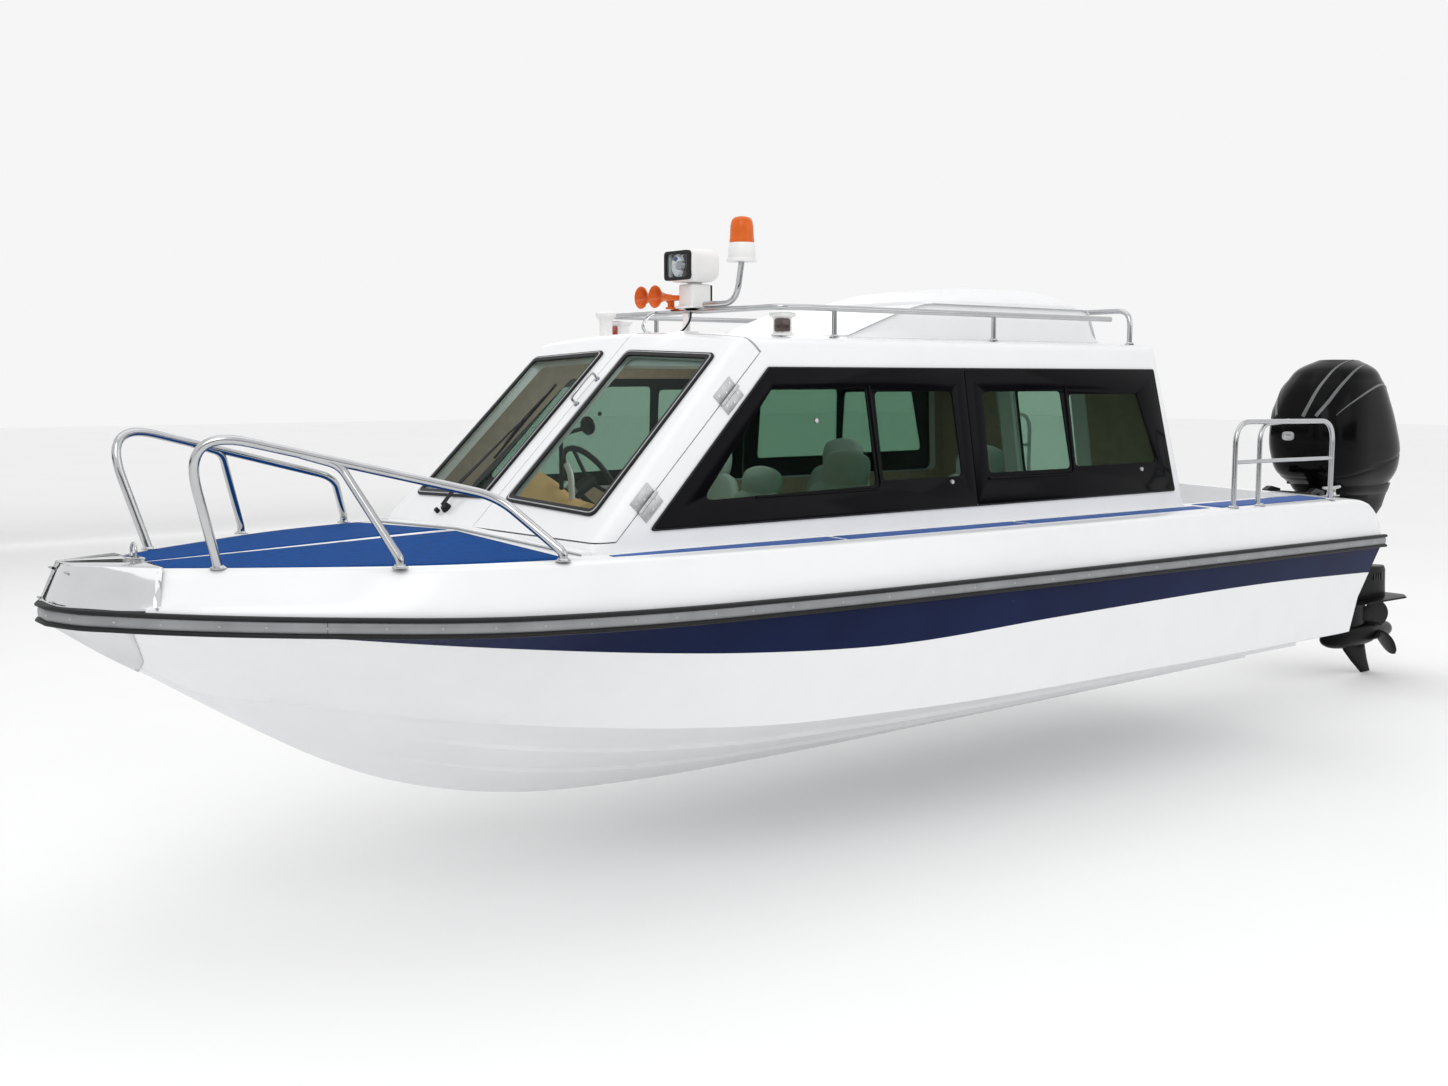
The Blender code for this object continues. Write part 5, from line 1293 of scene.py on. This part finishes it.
def make_beacon():
    """Bent pole, base with a flange, and ribbed dome."""
    x, y = BEACON_AT
    height = ROOF_RAIL_Z + RAIL_TUBE + SADDLE
    path = bent([(0.13, -0.65, height), (x - 0.01, -0.65, height), (x, y, 1.805)], 0.10, 12)
    pole = tube("pole", path, RAIL_TUBE, STEEL)
    profile = [(0.0, 1.800), (0.060, 1.800), (0.061, 1.806), (0.060, 1.812), (0.054, 1.815), (0.056, 1.822),
               (0.053, 1.872), (0.051, 1.875), (0.0, 1.875)]
    base = turned("base", profile, (x, y, 0), PLASTIC)
    put(join("beacon_mount", [pole, base]), stands_for=["beacon_pole"])
    dome = [(0.0, 1.8753), (0.050, 1.8753), (0.050, 1.885)]
    dome += [(0.0488 - 0.0003 * k + (0.0012 if k % 2 else 0.0), 1.885 + 0.006 * k) for k in range(1, 11)]
    dome += [(0.044, 1.957), (0.040, 1.967), (0.032, 1.975), (0.020, 1.979), (0.0, 1.9805)]
    put(turned("beacon_dome", dome, (x, y, 0), AMBER), stands_for=["beacon_lens"])


def make_horns():
    profile = [(0.0, 0.0), (0.018, 0.0), (0.020, 0.004), (0.020, 0.016), (0.012, 0.020), (0.010, 0.05),
               (0.011, 0.08), (0.015, 0.105), (0.022, 0.128), (0.033, 0.146), (0.046, 0.156), (0.047, 0.160),
               (0.044, 0.161), (0.030, 0.148), (0.018, 0.125), (0.0, 0.110)]
    height = ROOF_RAIL_Z + RAIL_TUBE + 0.045
    horns = [turned("horn", profile, (x, -0.65, height), AMBER, (0, -1, 0)) for x in (-0.10, 0.0)]
    for name, low, high, soft in (("bar", (-0.11, -0.68, 1.659), (0.01, -0.655, 1.681), 0.004),
                                  ("stem", (-0.09, -0.68, 1.63), (-0.07, -0.655, 1.665), 0.003),
                                  ("foot", (-0.105, -0.68, 1.6248), (-0.055, -0.62, 1.6345), 0.003)):
        horns.append(box(name, low, high, AMBER, soft))
    put(join("horn_pair", horns), stands_for=["horns"])


def make_nav_lights():
    for side, name, mat in ((1, "port", SMOKED), (-1, "starboard", RED)):
        low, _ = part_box(f"nav_light_{name}")
        x, base = side * 0.56, low[2]
        rows = ((0.040, 0.0), (0.039, 0.006), (0.032, 0.012), (0.032, 0.066), (0.038, 0.071), (0.044, 0.076),
                (0.046, 0.084), (0.043, 0.089), (0.024, 0.092))
        rings = [squircle((x, -0.593), half, half * 0.9, base + rise, 5.0, 40) for half, rise in rows]
        housing = loft("housing", rings, PLASTIC, 40)
        ends = sorted((x - side * 0.012, x + side * 0.038))
        lens = box("lens", (ends[0], -0.630, base + 0.014), (ends[1], -0.580, base + 0.066), mat, 0.008, 4)
        put(join(f"nav_light_skin_{name}", [housing, lens]),
            stands_for=[f"nav_light_{name}"])


def make_roof_fittings():
    """Vent, the searchlight's pedestal, a bracket with its cable and a hook post."""
    low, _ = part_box("roof_vent")
    profile = [(0.0, 0.0), (0.034, 0.0), (0.034, 0.004), (0.029, 0.010), (0.028, 0.075), (0.031, 0.084),
               (0.044, 0.098), (0.046, 0.106), (0.044, 0.113), (0.030, 0.117), (0.0, 0.118)]
    vent = turned("vent_skin", profile, (-0.46, -0.745, low[2]), PLASTIC)
    put(vent, stands_for=["roof_vent"])
    (x, y), top = SEARCHLIGHT_AT, ROOF_RAIL_Z + SADDLE
    body = box("body", (x - 0.05, y - 0.05, top), (x + 0.05, y + 0.05, 1.724), PLASTIC, 0.010, 4)
    plate = box("plate", (x - 0.06, y - 0.06, top), (x + 0.06, y + 0.06, top + 0.010), PLASTIC, 0.003)
    put(join("pedestal_skin", [body, plate]), stands_for=["searchlight_pedestal"])
    ledge = roof_z(0.0)
    foot = box("foot", (-0.015, -0.70, ledge), (0.055, -0.62, ledge + 0.008), PLASTIC, 0.002)
    web = box("web", (0.000, -0.668, ledge + 0.004), (0.040, -0.655, 1.606), PLASTIC, 0.003)
    line = [(0.045, -0.655, 1.62), (0.058, -0.672, 1.575), (0.045, -0.69, 1.54),
            (0.02, -0.695, ledge + 0.004)]
    cable = tube("cable", flow(line, 6), 0.0045, RUBBER, 4)
    put(join("rail_bracket", [foot, web, cable]))
    line = [(-0.20, -0.66, 1.618), (-0.20, -0.70, 1.60), (-0.215, -0.725, 1.555), (-0.18, -0.72, ledge)]
    hook = tube("hook", bent(line, 0.03, 8), 0.007, STEEL)
    put(join("hook_post", [hook, flange(-0.18, -0.72, ledge - 0.001, 0.8)]))


# Seats
SEAT_LEAN = -9
SEAT_INNER = 0.22
SEAT_OUTER = 0.70


def cushion(name, low, high, crown, channels=0):
    """Upholstered block: crowned faces that draw in at piped edges."""
    size = [high[i] - low[i] for i in range(3)]
    middle = [(high[i] + low[i]) / 2 for i in range(3)]
    bm = bmesh.new()
    bmesh.ops.create_cube(bm, size=1.0)
    bmesh.ops.subdivide_edges(bm, edges=bm.edges, cuts=11, use_grid_fill=True)
    for vert in bm.verts:
        p = [2 * c for c in vert.co]
        round_off = (abs(p[0])**6 + abs(p[1])**6 + abs(p[2])**6)**(1 / 6)
        q = [c / round_off for c in p]
        swell = [(1 - q[(i + 1) % 3]**2) * (1 - q[(i + 2) % 3]**2) for i in range(3)]
        place = [middle[i] + q[i] * (size[i] / 2 - crown * (1 - swell[i])) for i in range(3)]
        if channels:
            dip = abs(math.sin(math.pi * channels * (q[0] + 1) / 2))
            place[2] -= 0.006 * (1 - dip)**3 * max(0.0, q[2])
        wrinkle = noise.noise(Vector(place) * 14) * 0.0025
        vert.co = [place[i] + wrinkle * q[i] for i in range(3)]
    return from_bmesh(name, bm, VINYL, 80)


def make_seat(name, pad, hinge, back, head, stands_for=()):
    """Cover of one seat: the pad, and a back and headrest that lean aft; each has a low and a high corner."""
    pieces = [cushion("pad", *pad, 0.022, 4), cushion("back", *back, 0.022), cushion("head", *head, 0.02)]
    lean = Matrix.Translation(hinge) @ Matrix.Rotation(math.radians(SEAT_LEAN), 4, "X")
    for piece in pieces[1:]:
        piece.data.transform(lean)
    seat = put(join(name, pieces), stands_for=stands_for)


def make_seats():
    for side, name in SIDES:
        left, right = sorted((side * SEAT_INNER, side * SEAT_OUTER))
        middle = (left + right) / 2
        for row, y in (("front", -0.42), ("rear", 0.42)):
            make_seat(f"seat_cover_{row}_{name}", ((left, y - 0.20, 0.382), (right, y + 0.20, 0.505)),
                      (0, y + 0.18, 0.44), ((left + 0.01, -0.045, 0.0), (right - 0.01, 0.055, 0.47)),
                      ((middle - 0.14, -0.035, 0.42), (middle + 0.14, 0.055, 0.60)), [f"seat_{row}_{name}"])


def make_front_seat():
    """Seat on a post beside the helm."""
    make_seat("helm_side_seat_cover", ((0.30, -1.06, 0.46), (0.70, -0.70, 0.56)), (0, -0.72, 0.50),
              ((0.32, -0.045, 0.0), (0.68, 0.045, 0.40)), ((0.38, -0.035, 0.35), (0.62, 0.045, 0.49)))
    profile = [(0.0, 0.0), (0.13, 0.0), (0.13, 0.008), (0.05, 0.018), (0.038, 0.03), (0.038, 0.385),
               (0.10, 0.395), (0.10, 0.402), (0.0, 0.402)]
    put(turned("post", profile, (0.50, -0.88, SOLE_Z + GAP), BRUSHED, steps=36))


CONSOLE_TOP = ((-0.70, 0.925), (-0.60, 0.937), (-0.38, 0.940), (-0.26, 0.905), (-0.14, 0.850), (-0.05, 0.834),
               (0.0, 0.828))
CONSOLE_SIDE = ((-1.345, 0.062), (-1.345, 0.62), (-1.335, 0.75), (-1.30, 0.80), (-1.22, 0.88), (-1.15, 1.0),
                (-1.08, 0.88), (-1.00, 0.80), (-0.985, 0.76), (-1.02, 0.68), (-1.08, 0.062))
CONSOLE_KNEE = 0.79


def make_dash():
    """Tan console with its instrument hill, whose height follows the top's line."""
    rings = []
    for x in stations(-0.70, 0.0, 0.025):
        stretch = (smooth_at(CONSOLE_TOP, x) - CONSOLE_KNEE)
        side = [(x, y, z if z < CONSOLE_KNEE else CONSOLE_KNEE + (z - CONSOLE_KNEE) / 0.21 * stretch)
                for y, z in CONSOLE_SIDE]
        rings.append(flow(side, 4))
    put(loft("console_skin", rings, DASH, 40), stands_for=["console"])


def make_dash_details():
    """Gauges, compass on a stalk and grab handle."""
    dials = []
    for x in (-0.58, -0.48, -0.28):
        start = Vector((x, -1.055, 0.872))
        aim = Vector((0, 0.75, 0.66)).normalized()
        for name, out, radius, mat in (("dial", 0.006, 0.034, FRIT), ("bezel", 0.003, 0.038, BRUSHED)):
            dials.append(cylinder(name, start - aim * 0.03, start + aim * out, radius, mat, 28))
    put(join("gauges", dials))
    line = bent([(-0.20, -1.15, 0.86), (-0.20, -1.15, 1.10), (-0.04, -1.145, 1.13)], 0.04, 8)
    stalk = tube("stalk", line, 0.009, RUBBER)
    profile = [(0.0, -0.020), (0.030, -0.018), (0.038, -0.008), (0.038, 0.006), (0.033, 0.012), (0.0, 0.012)]
    disc = turned("disc", profile, (-0.01, -1.14, 1.142), FRIT, (0, 1, 0.2), 32)
    put(join("dash_compass", [stalk, disc]))
    grab = flow([(-0.105, -1.16, 0.82), (-0.108, -1.16, 0.88), (-0.122, -1.155, 0.935),
                 (-0.158, -1.15, 0.978)], 6)
    put(tube("dash_grab_handle", grab, 0.013, PLASTIC))


# Outboard
COWL_FRONT = ((0.66, 4.30), (0.72, 4.21), (0.86, 4.13), (1.02, 4.11), (1.18, 4.14), (1.32, 4.22),
              (1.41, 4.33), (1.45, 4.43))
COWL_BACK = ((0.66, 4.985), (0.72, 5.02), (0.86, 5.04), (1.02, 4.99), (1.18, 4.925), (1.32, 4.87),
             (1.41, 4.80), (1.45, 4.73))
COWL_HALF = ((0.66, 0.235), (0.72, 0.27), (0.86, 0.295), (1.02, 0.295), (1.18, 0.28), (1.32, 0.24),
             (1.41, 0.18), (1.45, 0.10))
COWL_POWER = ((0.66, 3.0), (0.86, 3.2), (1.18, 2.8), (1.45, 2.2))
COWL_CORE = (0.0, 4.58, 0.90)
STRIP_LIFT = 0.0025
SHAFT_Z = -0.36
PROPELLER_Y = 5.16
STEER_PIN_Y = 4.36
# Grey strips that stand for the cowl's flutes and whose grey is a painted highlight, sweeping up and aft over
# the cowl's shoulder: guide line and half widths along it
COWL_HIGHLIGHT_STRIPS = ((((0.04, 4.10, 1.105), (0.07, 4.16, 1.19), (0.10, 4.34, 1.32), (0.09, 4.58, 1.40)),
                (0.013, 0.011, 0.007, 0.001)),
               (((0.12, 4.12, 1.105), (0.17, 4.20, 1.20), (0.18, 4.42, 1.33), (0.14, 4.66, 1.39)),
                (0.011, 0.010, 0.006, 0.001)),
               (((0.21, 4.20, 1.10), (0.25, 4.38, 1.20), (0.24, 4.64, 1.28), (0.20, 4.84, 1.27)),
                (0.001, 0.004, 0.005, 0.001)))


def cowl_ring(z):
    return section(z, *[smooth_at(table, z) for table in (COWL_FRONT, COWL_BACK, COWL_HALF, COWL_POWER)])


def surface_strip(name, ground, guide, widths, mat):
    """Thin crowned strip laid on a surface along a guide line."""
    line = flow(guide, 8)
    shares = [(k / (len(widths) - 1), width) for k, width in enumerate(widths)]
    rows = []
    core = Vector(COWL_CORE)
    for i, point in enumerate(line):
        along = line[min(i + 1, len(line) - 1)] - line[max(i - 1, 0)]
        out = (point - core).normalized()
        aside = along.cross(out).normalized() * smooth_at(shares, i / (len(line) - 1))
        row = []
        for k in (-1, -0.5, 0, 0.5, 1):
            start = point + aside * k
            hit, spot, _, _ = ground.ray_cast(start + out * 0.3, -out)
            row.append((spot if hit else start) + out * STRIP_LIFT * (1 - 0.6 * k * k))
        rows.append(row)
    return plate_from_rows(name, rows, mat)


def make_cowl():
    zs = stations(0.6603, 1.40, 0.0075) + [1.415, 1.427, 1.437, 1.444, 1.448, 1.45]
    rings = []
    for z in zs:
        ring = cowl_ring(z)
        for point in ring:
            line = 0.70 + 0.17 * min(max((point.y - 4.2) / 0.8, 0.0), 1.0)
            step = 0.008 * max(0.0, 1 - abs(point.z - line) / 0.008)
            out = Vector((point.x, (point.y - COWL_CORE[1]) * 0.35, 0)).normalized()
            point -= out * step
        rings.append(ring)
    top = rings[-1]
    middle = sum(top, Vector()) / len(top)
    for scale, rise in ((0.8, 0.0022), (0.55, 0.0036), (0.3, 0.0042), (0.1, 0.0044)):
        rings.append([middle + (p - middle) * scale + Vector((0, 0, rise)) for p in top])
    cowl = loft("cowl_skin", rings, GLOSS_BLACK, 50)
    cut(cowl, box("engine_room", (-0.19, 4.32, 0.5), (0.19, 4.86, 1.22)))
    put(rounded(cowl, 40), "engine", ["engine_cowl"])
    bpy.context.view_layer.update()
    # Strips in painted-highlight grey along the flutes, on the port side and in a shifted copy to starboard
    strips = []
    for guide, width in COWL_HIGHLIGHT_STRIPS:
        strips.append(surface_strip("strip", cowl, guide, width, COWL_HIGHLIGHT_GREY))
        other = [(-x - 0.12, y + 0.03, z) for x, y, z in guide]
        strips.append(surface_strip("strip_other", cowl, other, width, COWL_HIGHLIGHT_GREY))
    put(join("cowl_highlight_strips", strips), "engine")
    _, spot, out, _ = cowl.closest_point_on_mesh((-0.05, 4.08, 0.975))
    across = Vector((0, 0, 1)).cross(out).normalized()
    place = frame_of(across, out.cross(across), out, spot + out * 0.003)
    plate, inner = ([(x, y) for x, y, _ in squircle((0, 0), half, rise, 0, 3.0, 32)]
                    for half, rise in ((0.042, 0.028), (0.030, 0.018)))
    latch = [outline("ring", plate, 0.010, place, BRUSHED, (inner,), 0.003),
             outline("lever", inner, 0.006, place, STEEL, (), 0.002)]
    put(join("cowl_latch", latch), "engine")


LEG_ROWS = ((0.66, 4.30, 5.02, 0.235, 3.0), (0.63, 4.31, 5.035, 0.22, 2.9), (0.60, 4.33, 5.05, 0.20, 2.8),
            (0.594, 4.41, 5.05, 0.19, 2.7), (0.55, 4.425, 5.055, 0.172, 2.6), (0.50, 4.44, 5.06, 0.15, 2.6),
            (0.44, 4.46, 5.02, 0.125, 2.5), (0.34, 4.48, 4.94, 0.10, 2.5), (0.22, 4.52, 4.955, 0.086, 2.5),
            (0.12, 4.555, 4.98, 0.077, 2.6), (0.10, 4.56, 5.0, 0.076, 2.7), (0.085, 4.57, 5.22, 0.071, 2.9),
            (0.06, 4.58, 5.24, 0.069, 3.0), (-0.05, 4.60, 5.255, 0.062, 3.0), (-0.13, 4.62, 5.27, 0.055, 3.0))


def make_leg():
    leg = loft("leg_skin", [section(*row) for row in LEG_ROWS], SATIN_BLACK, 40)
    edge = rounded_loop(((-0.05, 4.60), (-0.13, 4.85), (-0.14, 5.33), (-0.07, 5.43), (0.07, 5.43),
                         (0.14, 5.33), (0.13, 4.85), (0.05, 4.60)), 0.03)
    plate = outline("plate", edge, 0.012, Matrix.Translation((0, 0, -0.134)), SATIN_BLACK, (), 0.004)
    rows = [(-0.12, 4.64, 5.04, 0.046), (-0.18, 4.655, 5.035, 0.040), (-0.26, 4.66, 5.03, 0.040),
            (-0.33, 4.65, 5.04, 0.05), (-0.37, 4.64, 5.05, 0.06)]
    strut = loft("strut", [section(z, a, b, h, 2.1, 48) for z, a, b, h in rows], SATIN_BLACK, 40)
    profile = [(0.0, 0.0), (0.066, 0.0), (0.072, 0.02), (0.078, 0.08), (0.079, 0.25), (0.077, 0.36),
               (0.070, 0.43), (0.058, 0.49), (0.042, 0.535), (0.024, 0.56), (0.008, 0.569), (0.0, 0.57)]
    torpedo = turned("torpedo", profile, (0, 5.10, SHAFT_Z), SATIN_BLACK, (0, -1, 0))
    rings = []
    for z, front, back, half in ((-0.39, 4.74, 5.055, 0.014), (-0.46, 4.80, 5.07, 0.012),
                                 (-0.54, 4.90, 5.10, 0.010), (-0.60, 4.985, 5.13, 0.008),
                                 (-0.626, 5.02, 5.145, 0.007), (-0.632, 5.03, 5.15, 0.006)):
        rings.append(section(z, front, back, half, 2.4, 32))
    skeg = loft("skeg", rings, SATIN_BLACK, 40)
    yoke = box("yoke", (-0.04, 4.325, -0.03), (0.04, 4.70, 0.0145), SATIN_BLACK, 0.006)
    pin = cylinder("steer_pin", (0, STEER_PIN_Y, -0.02), (0, STEER_PIN_Y, 0.62), 0.02, DARK_METAL)
    vents = [box("vent", (-0.0715, y, 0.0), (0.0715, y + 0.012, 0.045), DARK_METAL, 0.002)
             for y in (5.02, 5.05, 5.08, 5.11)]
    parts = [leg, plate, strut, torpedo, skeg, yoke, pin] + vents
    put(join("leg_parts", parts), "engine", ["outboard_leg"])


def make_propeller():
    profile = [(0.0, 0.0), (0.060, 0.0), (0.063, 0.01), (0.061, 0.10), (0.056, 0.19), (0.052, 0.215),
               (0.047, 0.232), (0.042, 0.2345), (0.040, 0.20), (0.0, 0.19)]
    parts = [turned("hub", profile, (0, 5.1005, SHAFT_Z), DARK_METAL, (0, 1, 0))]
    for turn in angles(3):
        spin = Matrix.Translation((0, PROPELLER_Y, SHAFT_Z)) @ Matrix.Rotation(turn, 4, "Y")
        rings = []
        for k in range(15):
            share = k / 14
            reach = 0.045 + 0.16 * share
            half = 0.088 * max(0.02, math.sin(math.pi * (0.22 + 0.76 * share)))**0.6
            skew = 0.03 * share**2
            pitch = Matrix.Rotation(math.radians(44 - 20 * share), 4, "Z")
            ring = []
            for angle in angles(16):
                bend = 0.10 * (math.cos(angle) * half)**2
                thick = 0.0045 * math.sin(angle) * (1 - 0.6 * share)
                ring.append(spin @ pitch @ Vector((half * math.cos(angle) + skew, thick + bend, reach)))
            rings.append(ring)
        parts.append(loft("blade", rings, DARK_METAL, 60))
    put(join("propeller_skin", parts), "propeller", ["propeller"])


def make_engine_mount():
    def transom(z):
        return STERN_Y + TRANSOM_RAKE * (z - TRANSOM_Z) + GAP
    profile = [(transom(-0.20), -0.20), (3.93, -0.06), (4.03, 0.02), (4.03, 0.50), (3.94, 0.50), (3.92, 0.34),
               (transom(0.34), 0.34)]
    pod = prism("engine_bracket_skin", profile, 0.33, GELCOAT)
    put(rounded(bevel(pod, 0.018, 4, 30)), stands_for=["engine_bracket"])
    bolts = []
    for side in (1, -1):
        for z in (0.20, 0.30, 0.40, 0.47):
            at = Vector((side * 0.13, 4.0603, z))
            bolts.append(cylinder("bolt", at, at + Vector((0, 0.008, 0)), 0.011, BRUSHED, 6))
    put(join("clamp_bolts", bolts))
    # The trim ram's two rods lie inside the clamp bracket's ears
    rods = [cylinder("rod", (x, 4.065, 0.16), (x, 4.085, 0.42), 0.016, STEEL, 24) for x in (0.095, -0.095)]
    put(join("trim_rods", rods))


# Studio
def make_camera():
    camera = new_object("camera", bpy.data.cameras.new("camera"))
    camera.location = CAMERA_AT
    camera.rotation_euler = [math.radians(angle) for angle in CAMERA_TURN]
    camera.data.lens = LENS
    camera.data.sensor_width = SENSOR
    camera.data.dof.use_dof = False
    camera.data.clip_end = 500
    SCENE.camera = camera


def area_light(name, place, target, size, power):
    light = bpy.data.lights.new(name, "AREA")
    light.shape = "RECTANGLE"
    light.size, light.size_y = size
    light.energy = power
    obj = new_object(name, light)
    obj.location = place
    obj.rotation_euler = (Vector(target) - Vector(place)).to_track_quat("-Z", "Y").to_euler()
    obj.visible_camera = False


def make_studio():
    SCENE.view_settings.view_transform = "Standard"
    world = bpy.data.worlds.new("studio")
    SCENE.world = world
    world.use_nodes = True
    set_inputs(world.node_tree.nodes["Background"], {"Color": (1.0, 1.0, 1.0, 1), "Strength": WORLD_STRENGTH})
    for light in LIGHTS:
        area_light(*light)
    box("floor", (-60, -60, FLOOR_Z - 0.05), (60, 60, FLOOR_Z), FLOOR)
    for i, (low, high) in enumerate(CARDS):
        card = box(f"card_{i}", low, high, CARD)
        card.visible_camera = False


# Solids that show as they are, with the material of each
KEPT = (("steering_wheel", RUBBER), ("seat_plinth", GELCOAT), ("windscreen_glass", SCREEN),
        ("side_pane", SIDE_TINT), ("rear_door_glass", SCREEN), ("clamp_bracket", DARK_METAL),
        ("swivel_bracket", DARK_METAL), ("engine_block", DARK_METAL))


def dress_kept():
    for name, node in NODES.items():
        for start, mat in KEPT:
            if name.startswith(start):
                if not node.material_slots:
                    node.data.materials.append(mat)
                for place in node.material_slots:
                    place.material = mat


def build():
    for step in (make_camera, make_studio, make_hull, make_deck, make_rub_rail, make_cabin, make_front_door,
                 make_deck_panels, make_foot_step, make_nose_cap, make_bow_eye, make_stem_plate,
                 make_plate_screws, make_bow_rails, make_aft_rails, make_cleats, make_roof_rails, make_hinges,
                 make_handles, make_rear_door, make_windscreens, make_wiper, make_side_windows, make_trunk,
                 make_hatch, make_searchlight, make_beacon, make_horns, make_nav_lights, make_roof_fittings,
                 make_seats, make_front_seat, make_dash, make_dash_details, make_cowl, make_leg,
                 make_propeller, make_engine_mount, dress_kept):
        step()


build()
